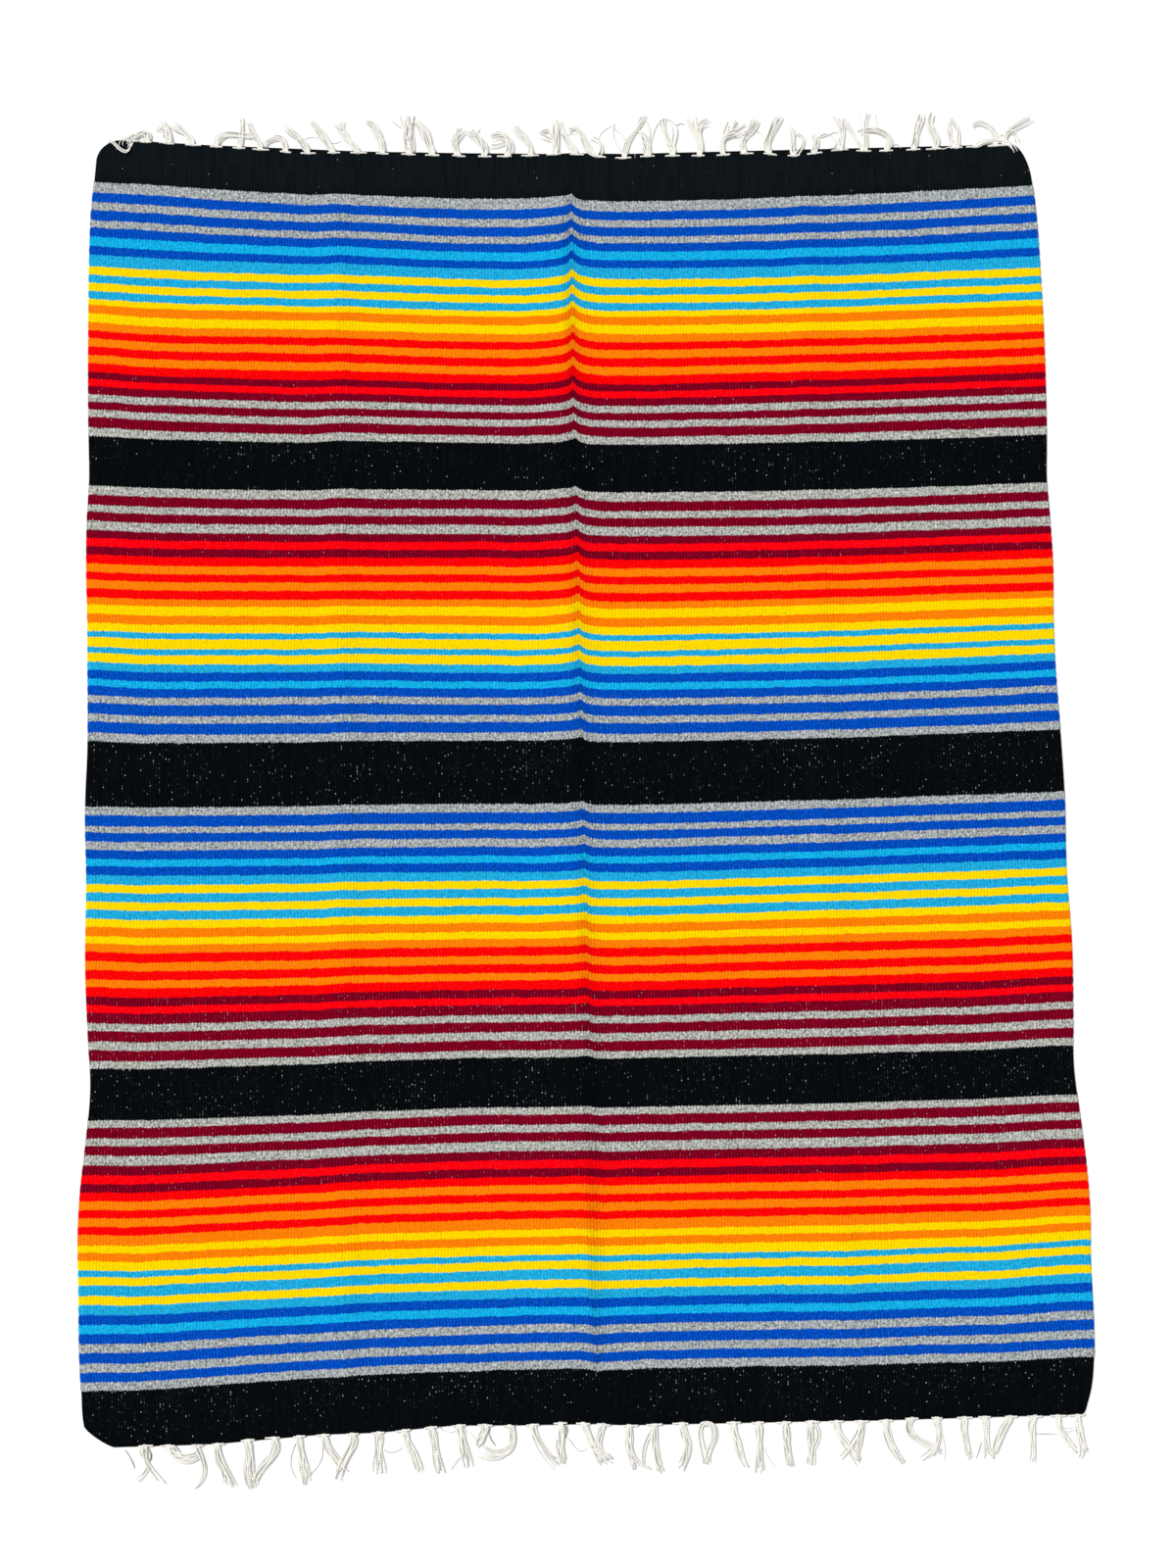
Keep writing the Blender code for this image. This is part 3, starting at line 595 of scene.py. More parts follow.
class Tree:
    """The node tree of one material, with the nodes that its finishes use."""

    def __init__(self, name: str) -> None:
        """Make a material with an empty Principled shader.

        Args:
            name: Name of the material.
        """
        self.material = bpy.data.materials.new(name)
        self.material.use_nodes = True
        self.graph = self.material.node_tree
        self.shader = self.graph.nodes["Principled BSDF"]

    def add(self, kind: str, settings: dict[str, Any], inputs: dict[Any, Any]) -> bpy.types.Node:
        """Add a node.

        Args:
            kind: Its type, without the ShaderNode in front.
            settings: Its properties, set first; stops are a colour ramp's places and colours.
            inputs: Values or wires for its sockets, by name or number.

        Returns:
            The node.
        """
        node = self.graph.nodes.new("ShaderNode" + kind)
        for name, value in settings.items():
            if name == "stops":
                self.set_stops(node.color_ramp, value)
            elif name == "interpolation":
                node.color_ramp.interpolation = value
            else:
                setattr(node, name, value)
        self.feed(node, inputs)
        return node

    def feed(self, node: bpy.types.Node, inputs: dict[Any, Any]) -> None:
        """Set or link sockets of a node.

        Args:
            node: The node.
            inputs: Values or wires for its sockets, by name or number.
        """
        for key, value in inputs.items():
            if isinstance(value, Wire):
                self.graph.links.new(value.socket, node.inputs[key])
            else:
                node.inputs[key].default_value = value

    @staticmethod
    def set_stops(ramp: bpy.types.ColorRamp, stops: Sequence[tuple[float, Channels]]) -> None:
        """Fill a colour ramp.

        Args:
            ramp: The ramp.
            stops: Rising places, each with red, green, blue and alpha.
        """
        while len(ramp.elements) > 1:
            ramp.elements.remove(ramp.elements[-1])
        ramp.elements[0].position = stops[0][0]
        ramp.elements[0].color = stops[0][1]
        for place, colour in stops[1:]:
            ramp.elements.new(place).color = colour

    def wire(self, node: bpy.types.Node, output: Union[int, str] = 0) -> Wire:
        """One output of a node as a wire."""
        return Wire(self, node.outputs[output])

    def math(self, operation: str, *values: Value) -> Wire:
        """One Math node over the given values."""
        return self.wire(self.add("Math", {"operation": operation}, dict(enumerate(values))))

    def vector(self, x: Value, y: Value, z: Value = 0.0) -> Wire:
        """A vector from its three numbers."""
        return self.wire(self.add("CombineXYZ", {}, {0: x, 1: y, 2: z}))

    def split(self, vector: Wire) -> tuple[Wire, Wire, Wire]:
        """The three numbers of a vector."""
        node = self.add("SeparateXYZ", {}, {0: vector})
        return self.wire(node, 0), self.wire(node, 1), self.wire(node, 2)

    def noise(self, place: Wire, scale: float, detail: float = 2.0, rough: float = 0.5) -> Wire:
        """Soft noise from 0 to 1.

        Args:
            place: Where to read it.
            scale: Lumps per unit of place.
            detail: Number of finer layers.
            rough: Strength of the finer layers.

        Returns:
            The noise.
        """
        inputs = {"Vector": place, "Scale": scale, "Detail": detail, "Roughness": rough}
        return self.wire(self.add("TexNoise", {"noise_dimensions": "2D"}, inputs))

    def grain(self, place: Wire, grain: Grain) -> Wire:
        """Soft noise of one grain, from -0.5 to 0.5."""
        return self.noise(place, grain.scale, grain.detail, grain.rough) - 0.5

    def stretch(self, value: Wire, length: float) -> Wire:
        """The whole number of lengths that a value has passed."""
        return self.math("FLOOR", value * (1 / length))

    def chance(self, x: Value, y: Value, draw: float = 0.0) -> Wire:
        """One random number from 0 to 1 for each pair of whole numbers.

        Args:
            x: First whole number.
            y: Second whole number.
            draw: Which of several independent draws.

        Returns:
            The random number.
        """
        place = self.vector(x, y, draw)
        return self.wire(self.add("TexWhiteNoise", {"noise_dimensions": "3D"}, {"Vector": place}))

    def between(self, value: Wire, low: float, high: float) -> Wire:
        """0 below low, 1 above high, and a smooth rise between them, or a fall where low is the larger.

        Args:
            value: What is compared.
            low: Where the result is 0.
            high: Where the result is 1.

        Returns:
            Values from 0 to 1.
        """
        inputs = {"Value": value, "From Min": low, "From Max": high}
        return self.wire(self.add("MapRange", {"interpolation_type": "SMOOTHSTEP"}, inputs))

    def scaled(self, colour: Union[Wire, Colour], amount: Wire) -> Wire:
        """A colour made lighter or darker by an amount."""
        return self.wire(self.add("VectorMath", {"operation": "SCALE"}, {0: colour, "Scale": amount}))

    def joined(self, colour: Wire, other: Wire) -> Wire:
        """Two colours added together."""
        return self.wire(self.add("VectorMath", {"operation": "ADD"}, {0: colour, 1: other}))

    def summed(self, colours: Sequence[Wire]) -> Wire:
        """The sum of several colours."""
        return reduce(self.joined, colours)

    def mixed(self, colour: Wire, other: Union[Wire, Channels], share: Value) -> Wire:
        """A colour with a share of another mixed in.

        Args:
            colour: The first colour.
            other: The other colour, with four channels if it is plain.
            share: 0 for the first colour, 1 for the other.

        Returns:
            The mixed colour.
        """
        node = self.add("Mix", {"data_type": "RGBA"}, {0: share, 6: colour, 7: other})
        return self.wire(node, 2)

    def bump(self, height: Wire, strength: float, distance: float = MM) -> Wire:
        """A bent normal from a height in units of distance."""
        inputs = {"Height": height, "Strength": strength, "Distance": distance}
        return self.wire(self.add("Bump", {}, inputs))


@dataclass(frozen=True)
class StripedWeave:
    """Weft-faced wool and acrylic: rainbow bands between black ones, ribbed by the hidden warp.

    rib is the pitch of the ribs, pick that of the rows of weft, dash that of the dashes of bare warp, and
    light how bright the studio makes white. The ribs stray aside by up to half of stray. A stripe's edge has
    teeth as deep as tooth, each moved by up to half of jitter over one jitter_run, and swings slowly by up
    to half of swing. creep is how far it moves into a stripe that is lighter by the whole range of
    brightness. streak_run is the length over which one rib of the black keeps the strength of its painted
    shading, lighter at the crest and darker in the grooves, and tone_run that over which one rib of the
    colours keeps its random tone. The black at the far hem is faded up to the first distance of faded_until,
    and no more past the second. white is the sum of the three channels of white.
    """
    rib: float = 0.00487
    pick: float = 0.0024
    dash: float = 0.0036
    light: float = 1.15
    stray: float = 0.0024
    tooth: float = 0.0015
    jitter: float = 0.0011
    jitter_run: float = 0.0125
    swing: float = 0.0026
    margin: float = 0.002
    creep: float = 0.0024
    streak_run: float = 0.03
    tone_run: float = 0.011
    white: float = 765.0
    faded: tuple[int, int, int] = (15, 21, 24)
    faded_until: tuple[float, float] = (0.05, 0.11)
    slub: Channels = (0.14, 0.55, 0.93, 1.0)
    warp: Channels = (0.70, 0.72, 0.70, 1.0)
    fibre: Grain = Grain(scale=420.0, detail=3.0, rough=0.65, depth=2.4)
    speck: Grain = Grain(scale=230.0, detail=1.0, rough=0.5, depth=1.9)
    patch: Grain = Grain(scale=60.0, detail=2.0, rough=0.5, depth=0.35)

    def edges(self, band: Band) -> Array:
        """Where a band's stripes meet, from its start.

        Each edge moves into the lighter stripe by creep times the difference in brightness, because a soft
        edge shows the lighter stripe wider than it is.

        Args:
            band: The band.

        Returns:
            The edges, with its first and last.
        """
        bright = np.array([sum(DYES[Yarn(letter)].colour) for letter in f"K{band.order}K"]) / self.white
        return band.edges() + self.creep * np.diff(bright)

    def reach(self, band: Band) -> float:
        """Length of a band's ramp: its stripes and a margin at both ends."""
        return sum(band.widths) * MM + 2 * self.margin

    def stops(self, band: Band, value_of: Callable[[Dye], Channels]) -> list[tuple[float, Channels]]:
        """Places and values of a band's stripes on a ramp that starts and ends a margin outside it.

        Args:
            band: The band.
            value_of: Gives four channels for a dye.

        Returns:
            The ramp's stops, with black at both ends.
        """
        places = (self.edges(band) + self.margin) / self.reach(band)
        inside = [(place, value_of(DYES[Yarn(letter)])) for place, letter in zip(places, band.order)]
        black = (0.0, 0.0, 0.0, 0.0)
        return [(0.0, black), *inside, (places[-1], black)]

    def band_ramp(self, tree: Tree, woven: Wire, band: Band,
                  value_of: Callable[[Dye], Channels]) -> bpy.types.Node:
        """A ramp over one band, read at a place in the weave.

        Args:
            tree: The material's tree.
            woven: Where to read it.
            band: The band.
            value_of: Gives four channels for a dye.

        Returns:
            The ramp.
        """
        share = (woven - (band.start - self.margin)) * (1 / self.reach(band))
        settings = {"interpolation": "CONSTANT", "stops": self.stops(band, value_of)}
        return tree.add("ValToRGB", settings, {0: share})

    def shade_of(self, dye: Dye) -> Channels:
        """A dye's base colour, and the depth of its painted rib-groove shade in the fourth channel."""
        return (*linear(dye.colour, self.light), dye.ribs)

    def traits_of(self, dye: Dye) -> Channels:
        """A dye's heather, cover and dots as the channels of a colour."""
        return (dye.heather, dye.cover, dye.dots, 1.0)

    @staticmethod
    def alphas(tree: Tree, ramps: Sequence[bpy.types.Node]) -> Wire:
        """The sum of the ramps' fourth channels."""
        return reduce(add, [tree.wire(ramp, "Alpha") for ramp in ramps])

    def material(self) -> bpy.types.Material:
        """Build the finish.

        The stripes are looked up at the woven place, moved by teeth one rib wide and by slow noise. Over
        the yarn's colour come mottled fibres, light slubs, painted shade in the rib grooves with a random
        tone for each rib, painted shading on the ribs of the black (lighter crests, darker grooves), and
        short dashes of white warp where the dark picks do not cover it.

        Returns:
            The material.
        """
        tree = Tree("striped_weave")
        place = tree.wire(tree.add("UVMap", {"uv_map": "weave"}, {}), "UV")
        across, woven, _ = tree.split(place)
        aside = (tree.noise(place, 9.0, 1.0) - 0.5) * self.stray
        ribs = (across + aside) * (1 / self.rib)
        rib = tree.math("FLOOR", ribs)
        phase = tree.math("FRACT", ribs)
        crest = tree.math("SINE", phase * math.pi)
        uneven = tree.chance(rib, tree.stretch(woven, self.jitter_run)) - 0.5
        slow = tree.noise(place, 26.0, 2.0) - 0.5
        stripe = woven + (crest - 0.6) * self.tooth + uneven * self.jitter + slow * self.swing

        shade_ramps = [self.band_ramp(tree, stripe, band, self.shade_of) for band in BANDS]
        trait_ramps = [self.band_ramp(tree, stripe, band, self.traits_of) for band in BANDS]
        first, last = self.faded_until
        black = tree.mixed(tree.vector(*linear(DYES[Yarn.BLACK].colour, self.light)),
                           (*linear(self.faded, self.light), 1.0), tree.between(woven, last, first))
        # Painted rib shading in the black: each rib lighter at its crest and darker in its grooves, by a
        # random strength for each run of streak_run.
        faint = tree.chance(rib, tree.stretch(woven, self.streak_run), 5.0)
        black = tree.scaled(black, 0.85 + crest * faint * 0.5)
        heather, cover, dots = tree.split(tree.summed([tree.wire(ramp, "Color") for ramp in trait_ramps]))
        # Depth of the painted shade in the rib grooves, for each dye.
        rib_shade_depth = self.alphas(tree, shade_ramps)
        black = tree.scaled(black, 1.0 - self.alphas(tree, trait_ramps))
        colour = tree.summed([black] + [tree.wire(ramp, "Color") for ramp in shade_ramps])

        fibres = tree.grain(place, self.fibre)
        specks = tree.grain(place, self.speck)
        patches = tree.grain(place, self.patch)
        uneven = fibres * self.fibre.depth + specks * self.speck.depth + patches * self.patch.depth
        mottle = 1.0 + heather * uneven
        tone = tree.chance(rib, tree.stretch(woven, self.tone_run), 1.0)
        # Painted shade in the rib grooves, darkest between crests, plus a random tone for each rib.
        rib_shade_and_tone = rib_shade_depth * (1.0 - crest) * 0.9 + rib_shade_depth * (tone - 0.5) * 0.35
        colour = tree.scaled(colour, mottle * (1.0 - rib_shade_and_tone))

        slub = tree.between(tree.noise(place, 520.0, 1.0), 0.67, 0.77) * dots * 0.55
        colour = tree.mixed(colour, self.slub, slub)
        colour = tree.mixed(colour, self.warp, self.warp_dashes(tree, place, rib, phase, cover))

        weft = tree.math("SINE", woven * (2 * math.pi / self.pick) + rib * math.pi)
        relief = crest * 0.60 + weft * 0.10 + fibres * 0.45
        tree.feed(tree.shader, {
            "Base Color": colour,
            "Roughness": 0.82 + fibres * 0.15,
            "Normal": tree.bump(relief, 0.7),
            "Specular IOR Level": 0.004,
            "Sheen Weight": 0.002,
            "Sheen Roughness": 0.3,
        })
        return tree.material

    def warp_dashes(self, tree: Tree, place: Wire, rib: Wire, phase: Wire, cover: Wire) -> Wire:
        """How much of the white warp shows: short dashes along the ribs, crowded in patches.

        Args:
            tree: The material's tree.
            place: Across and woven.
            rib: Number of the rib.
            phase: Place across the rib, 0 to 1.
            cover: How well the yarn hides the warp.

        Returns:
            Share of warp colour, 0 to 1.
        """
        _, woven, _ = tree.split(place)
        rows = woven * (1 / self.dash) + tree.chance(rib, 7.0) * 5.0
        row = tree.math("FLOOR", rows)
        along = tree.math("FRACT", rows)
        shape = tree.between(tree.math("ABSOLUTE", phase - 0.5), 0.15, 0.05)
        shape = shape * tree.between(tree.math("ABSOLUTE", along - 0.5), 0.34, 0.15)
        stops = [(bare.woven / 2, (bare.amount, bare.amount, bare.amount, 1.0)) for bare in WARP_SHOWS]
        settings = {"interpolation": "LINEAR", "stops": stops}
        amount, _, _ = tree.split(tree.wire(tree.add("ValToRGB", settings, {0: woven * 0.5})))
        crowd = tree.between(tree.noise(place, 9.0, 2.0), 0.10, 0.85)
        shown = tree.chance(rib, row, 2.0) < amount * crowd * 0.65
        faint = tree.chance(rib, row, 3.0)
        faint = faint * faint * faint
        return shape * shown * (1.0 - cover) * (0.03 + faint * faint * 0.70)


@dataclass(frozen=True)
class WarpCotton:
    """Loose off-white cotton warp yarn, softly twisted, some ends brownish; its brown-grey ends also stand
    for painted shade between the yarns.
    """
    shade: tuple[int, int, int] = (243, 241, 233)
    brown_and_shade: tuple[int, int, int] = (128, 112, 112)
    light: float = 1.09
    twist: float = 0.0042
    fibre: Grain = Grain(scale=700.0, detail=2.0, rough=0.5, depth=0.12)

    def material(self) -> bpy.types.Material:
        """Build the finish: a slow brown-grey tint from yarn to yarn, partly real brown ends and partly
        painted shade between the yarns, and painted shade along the slanting lines of the twist.

        Returns:
            The material.
        """
        tree = Tree("warp_cotton")
        place = tree.wire(tree.add("UVMap", {"uv_map": "yarn"}, {}), "UV")
        around, along, _ = tree.split(place)
        brown = tree.wire(tree.add("Attribute", {"attribute_name": "brown"}, {}), "Fac")
        slant = tree.math("SINE", (along * (1 / self.twist) + around) * (2 * math.pi))
        fibres = tree.grain(tree.vector(along, brown), self.fibre)
        blotch = tree.between(tree.noise(tree.vector(along, brown * 9.0), 60.0, 1.0), 0.35, 0.6)
        clean = tree.vector(*linear(self.shade, self.light))
        # Brown-grey share of each yarn: partly real brown ends, partly painted shade between the yarns.
        base = tree.mixed(clean, (*linear(self.brown_and_shade, self.light), 1.0),
                          tree.between(brown, 0.25, 1.0) * (0.5 + blotch * 0.5))
        # Painted shade along the twist's slanting lines, with the fibres' own grain.
        colour = tree.scaled(base, 0.97 + slant * 0.05 + fibres * self.fibre.depth)
        tree.feed(tree.shader, {
            "Base Color": colour,
            "Roughness": 0.78 + fibres * 0.1,
            "Normal": tree.bump(slant * 0.5 + fibres * 0.6, 0.5, 0.0003),
            "Specular IOR Level": 0.05,
            "Sheen Weight": 0.03,
            "Sheen Roughness": 0.5,
        })
        return tree.material


@dataclass(frozen=True)
class Lay:
    """How the cloth lies on the floor: its solid's numbers, with the fold's flank placed more closely."""
    width: float = 1.52
    length: float = LENGTH
    far_hem: float = 0.9917
    thickness: float = 0.0025
    middle_fold: float = 0.002
    ridge_left: float = 0.080
    flank_power: float = 1.7
    hem_fade: float = 0.080
    side_fade: float = 0.060
    sway_fade: float = 0.065
    far_left: Corner = Corner(across=0.040, down=0.040, fullness=2.0)
    far_right: Corner = Corner(across=0.022, down=0.060, fullness=2.0)
    near_left: Corner = Corner(across=0.037, down=0.033, fullness=1.25)
    near_right: Corner = Corner(across=0.005, down=0.008, fullness=2.0)

    @staticmethod
    def corner_inset(distance: Array, corner: Corner) -> Array:
        """How far a rounded corner draws the selvedge in.

        With f for its fullness and r for what is left of its length, it is across times
        (1 - (1 - r to the power f) to the power 1 / f).

        Args:
            distance: Distance from the hem.
            corner: The corner.

        Returns:
            The inset.
        """
        rest = np.clip(1 - distance / corner.down, 0, 1)
        return corner.across * (1 - (1 - rest ** corner.fullness) ** (1 / corner.fullness))

    @staticmethod
    def swell(distance: Array, crease: Crease) -> Array:
        """A low round ridge: its height times (1 - (distance / twice its width) squared) squared."""
        return crease.height * np.clip(1 - (distance / (2 * crease.width)) ** 2, 0, 1) ** 2

    def ridge(self, across: Array, woven: Array) -> Array:
        """Height of the middle fold, times exp of minus a power of the distance from its crest over a width.

        On the left, where the cloth rises slowly, the width is large and the power 2. On the right the
        flank is steep and the power is flank_power, which makes its slope more even.

        Args:
            across: Distance to the right of the middle, in the weave.
            woven: Distance from the far hem, in the weave.

        Returns:
            The height.
        """
        distance = across - read(FOLDS, "place", woven)
        left = (distance / self.ridge_left) ** 2
        right = (np.abs(distance) / read(FOLDS, "flank", woven)) ** self.flank_power
        return read(FOLDS, "height", woven) * np.exp(-np.where(distance < 0, left, right))

    def place(self, across: Array, woven: Array) -> tuple[Array, Array, Array]:
        """Place on the floor of points of the underside.

        x runs evenly between the selvedges. y falls with the woven length, with a tilt and a bow across
        the cloth and the sway of the hems. z is the fold's ridge and the creases.

        Args:
            across: Distance to the right of the middle, in the weave.
            woven: Distance from the far hem, in the weave.

        Returns:
            x, y and z.
        """
        rest = self.length - woven
        left = read(SIDES, "left", woven)
        left = left + self.corner_inset(woven, self.far_left) + self.corner_inset(rest, self.near_left)
        right = read(SIDES, "right", woven)
        right = right - self.corner_inset(woven, self.far_right) - self.corner_inset(rest, self.near_right)
        share = across / self.width + 0.5
        x = left * (1 - share) + right * share
        side = x / (self.width / 2)
        rise = read(SECTIONS, "tilt", woven) * side + read(SECTIONS, "bow", woven) * side ** 2
        sway = read(FAR_SWAY, "rise", across) * fade(self.sway_fade - woven, self.sway_fade)
        sway = sway + read(NEAR_SWAY, "rise", across) * fade(self.sway_fade - rest, self.sway_fade)
        y = self.far_hem - woven + rise + sway * MM
        z = self.ridge(across, woven)
        from_hem = np.minimum(woven, rest)
        from_side = self.width / 2 - np.abs(across)
        for crease in LENGTHWISE:
            z = z + self.swell(across - crease.place, crease) * fade(from_hem, self.hem_fade)
        z = z + self.swell(woven - CROSSWISE.place, CROSSWISE) * fade(from_side, self.side_fade)
        return x, y, np.maximum(z, 0.0)

    def hem_line(self, woven: float) -> tuple[Array, Array]:
        """The cloth's end edge and its rounded corners, as x and y of close points from left to right.

        Args:
            woven: 0 for the far hem, the cloth's length for the near one.

        Returns:
            x and y.
        """
        toward = 1 if woven == 0.0 else -1
        side = woven + toward * np.linspace(0.06, 0.0005, 40)
        middle = np.linspace(-self.width / 2, self.width / 2, 400)
        left, right = np.full_like(side, middle[0]), np.full_like(side, middle[-1])
        across = np.concatenate([left, middle, right])
        places = np.concatenate([side, np.full_like(middle, woven), side[::-1]])
        x, y, _ = self.place(across, places)
        order = np.argsort(x)
        return x[order], y[order]


@dataclass(frozen=True)
class Cloth:
    """The woven blanket as one closed thin sheet with rounded selvedges.

    Its columns are closest in fold_zone, wider apart on the skirts beside it, and widest outside
    left_flat_end and right_flat_start. edge_gap is the distance of a row from a stripe's edge. turn is the
    width of the step between the stripes of both sides at the fold, and turn_growth what it gains past
    turn_place. A cusp is a share and a length. The cloth has hem_share of its thickness at a hem and the
    whole of it from hem_round inside.
    """
    lay: Lay
    fold_zone: tuple[float, float] = (-0.020, 0.054)
    left_skirt: tuple[float, float] = (-0.125, -0.022)
    right_skirt: tuple[float, float] = (0.058, 0.090)
    left_flat_end: float = -0.133
    right_flat_start: float = 0.096
    fold_step: float = 0.0025
    row_step: float = 0.0060
    hem_rows: tuple[float, ...] = (0.0, 0.0004, 0.0011, 0.0022, 0.0038, 0.008, 0.011, 0.015, 0.021)
    edge_gap: float = 0.0016
    edge_turns: int = 5
    widest_stripe: float = 0.03
    selvedge_bulge: float = 0.0011
    bulge_reach: float = 0.006
    turn: float = 0.014
    turn_growth: float = 0.030
    turn_place: float = 1.45
    sharp_cusp: tuple[float, float] = (0.6, 0.007)
    blunt_cusp: tuple[float, float] = (0.4, 0.027)
    relief: float = 0.0011
    ragged: float = 0.0006
    ragged_depth: float = 0.008
    hem_share: float = 0.30
    hem_round: float = 0.0036

    def columns(self) -> Array:
        """Places across the top, close together over the middle fold."""
        half = self.lay.width / 2 - self.lay.thickness / 2
        fold = np.arange(*self.fold_zone, self.fold_step)
        skirts = [np.arange(*skirt, self.row_step) for skirt in (self.left_skirt, self.right_skirt)]
        left = np.linspace(-half, self.left_flat_end, 48)
        right = np.linspace(self.right_flat_start, half, 51)
        return np.sort(np.concatenate([left, right, *skirts, fold]))

    def under_columns(self) -> Array:
        """Places across the underside: fewer, but on every fold."""
        half = self.lay.width / 2 - self.lay.thickness / 2
        steps = np.array([-0.160, -0.110, -0.070, -0.035, -0.012, 0.0, 0.010, 0.020, 0.032, 0.050])
        folds = [self.lay.middle_fold + steps]
        folds += [crease.place + crease.width * np.linspace(-2.2, 2.2, 5) for crease in LENGTHWISE]
        even = np.linspace(-half, half, 13)
        places = np.sort(np.concatenate([even, *folds]))
        return places[np.concatenate([[True], np.diff(places) > 0.006])]

    def rows(self) -> Array:
        """Places along the cloth: three to each stripe, closer together at the hems."""
        edges = [band.start + band.edges() for band in BANDS]
        gap = self.edge_gap
        stripes = [np.concatenate([edge[:-1] + gap, (edge[:-1] + edge[1:]) / 2, edge[1:] - gap])
                   for edge in edges]
        bounds = [0.0, *[spot for edge in edges for spot in (edge[0], edge[-1])], self.lay.length]
        blacks = [np.arange(start + self.row_step, end - self.row_step / 2, self.row_step)
                  for start, end in zip(bounds[0::2], bounds[1::2])]
        hem = np.array(self.hem_rows)
        return np.unique(np.concatenate([*stripes, *blacks, hem, self.lay.length - hem]).round(5))

    def drift(self, across: Array, woven: Array) -> Array:
        """How far the stripes lie towards the far end of an even layout.

        On each side of the fold the table's columns are joined across by smooth steps. The two sides meet
        in a step at the crest, wider towards the near end, and the crest adds a cusp: a share of exp of
        minus the distance over a short length, and the rest over a longer one.

        Args:
            across: Places across the weave.
            woven: Places along the weave.

        Returns:
            The shift of the stripes.
        """
        def across_side(places: Sequence[tuple[str, float]]) -> Array:
            """One side's columns, joined across.

            Args:
                places: Each column and where it stands.

            Returns:
                The drift in millimetres.
            """
            value = read(DRIFTS, places[0][0], woven)
            for (_, start), (name, end) in zip(places, places[1:]):
                value = value + (read(DRIFTS, name, woven) - value) * fade(across - start, end - start)
            return value

        crest = read(DRIFTS, "place", woven) * MM
        turn = self.turn + self.turn_growth * fade(woven - self.turn_place, 0.10)
        right = fade(across - crest + turn / 2, turn)
        gap = np.abs(across - crest)
        cusp = sum(share * np.exp(-gap / length) for share, length in (self.sharp_cusp, self.blunt_cusp))
        sides = across_side(DRIFT_LEFT) * (1 - right) + across_side(DRIFT_RIGHT) * right
        return (sides + read(DRIFTS, "crest", woven) * cusp) * MM

    def bulge(self, woven: Array) -> Array:
        """How far each stripe's turns of weft stand out at the selvedge: a half circle over its width.

        Args:
            woven: Places along the weave.

        Returns:
            The distances, none in the black bands.
        """
        edges = np.concatenate([band.start + band.edges() for band in BANDS])
        at = np.clip(np.searchsorted(edges, woven, side="right") - 1, 0, len(edges) - 2)
        width = edges[at + 1] - edges[at]
        t = np.clip((woven - edges[at]) / width, 0, 1)
        half_circle = np.sqrt(np.clip(4 * t * (1 - t), 0, 1)) - 0.5
        return np.where(width < self.widest_stripe, self.selvedge_bulge * half_circle, 0.0)

    def waves(self, across: Array, woven: Array) -> Array:
        """Low soft unevenness of a cloth that lies loose: the sum of the trains of waves, never below 0.

        A train is its strength times the sine of its first wave times the sine of its second.

        Args:
            across: Places across the weave.
            woven: Places along the weave.

        Returns:
            Heights, none at the hems and the selvedges.
        """
        total = np.zeros_like(across)
        for train in WAVES:
            first = np.sin(across * train.across_1 + woven * train.woven_1 + train.phase_1)
            second = np.sin(woven * train.woven_2 + across * train.across_2 + train.phase_2)
            total = total + train.strength * first * second
        from_hem = np.minimum(woven, self.lay.length - woven)
        from_side = self.lay.width / 2 - np.abs(across)
        inside = fade(from_hem, 0.10) * fade(from_side, 0.08)
        return self.relief * inside * (total / column(WAVES, "strength").sum() + 1.0) / 2

    def raggedness(self, across: Array, from_hem: Array) -> Array:
        """Unevenness of the last picks at a hem: two trains of short waves, gone ragged_depth inside it."""
        train = np.sin(across * 610 + 2 * np.sin(across * 57)) + 0.8 * np.sin(across * 233 + 1.0)
        return self.ragged * train * fade(self.ragged_depth - from_hem, self.ragged_depth)

    def build(self, finish: StripedWeave) -> bpy.types.Object:
        """Build the cloth.

        Each row is a closed loop: over the top, round the right selvedge as a half circle, back along the
        underside and round the left selvedge. The loops follow each other from hem to hem, get thinner
        close to a hem, as a quarter circle, and a flat face closes each end.

        Args:
            finish: The weave's finish.

        Returns:
            The cloth.
        """
        lay = self.lay
        radius = lay.thickness / 2
        half = lay.width / 2 - radius
        angle = np.linspace(math.pi / 2, -math.pi / 2, self.edge_turns + 2)[1:-1]
        top, under = self.columns(), self.under_columns()[::-1]
        turn_out, turn_up = half + radius * np.cos(angle), radius * (1 + np.sin(angle))
        across = np.concatenate([top, turn_out, under, -turn_out[::-1]])
        over, below = np.full_like(top, lay.thickness), np.zeros_like(under)
        level = np.concatenate([over, turn_up, below, turn_up[::-1]])
        rows = self.rows()
        wide, long = len(across), len(rows)
        across_grid, woven_grid = np.meshgrid(across, rows)
        x, y, z = lay.place(across_grid, woven_grid)
        from_hem = np.minimum(woven_grid, lay.length - woven_grid)
        quarter_circle = np.sqrt(1 - (1 - np.clip(from_hem / self.hem_round, 0, 1)) ** 2)
        thin = self.hem_share + (1 - self.hem_share) * quarter_circle
        z = z + self.waves(across_grid, woven_grid) + radius + (level[None, :] - radius) * thin
        inner = np.abs(across_grid) - (lay.width / 2 - self.bulge_reach)
        outer = fade(inner, self.bulge_reach) * np.sign(across_grid)
        stripe = woven_grid + self.drift(across_grid, woven_grid)
        x = x + outer * self.bulge(stripe)
        points = np.stack([x, y + self.raggedness(across_grid, from_hem), z], axis=-1)
        first = np.arange(long - 1)[:, None] * wide
        here, there = np.arange(wide), (np.arange(wide) + 1) % wide
        quads = np.stack([first + here, first + wide + here, first + wide + there, first + there], axis=-1)
        ends = [here.tolist(), ((long - 1) * wide + here[::-1]).tolist()]
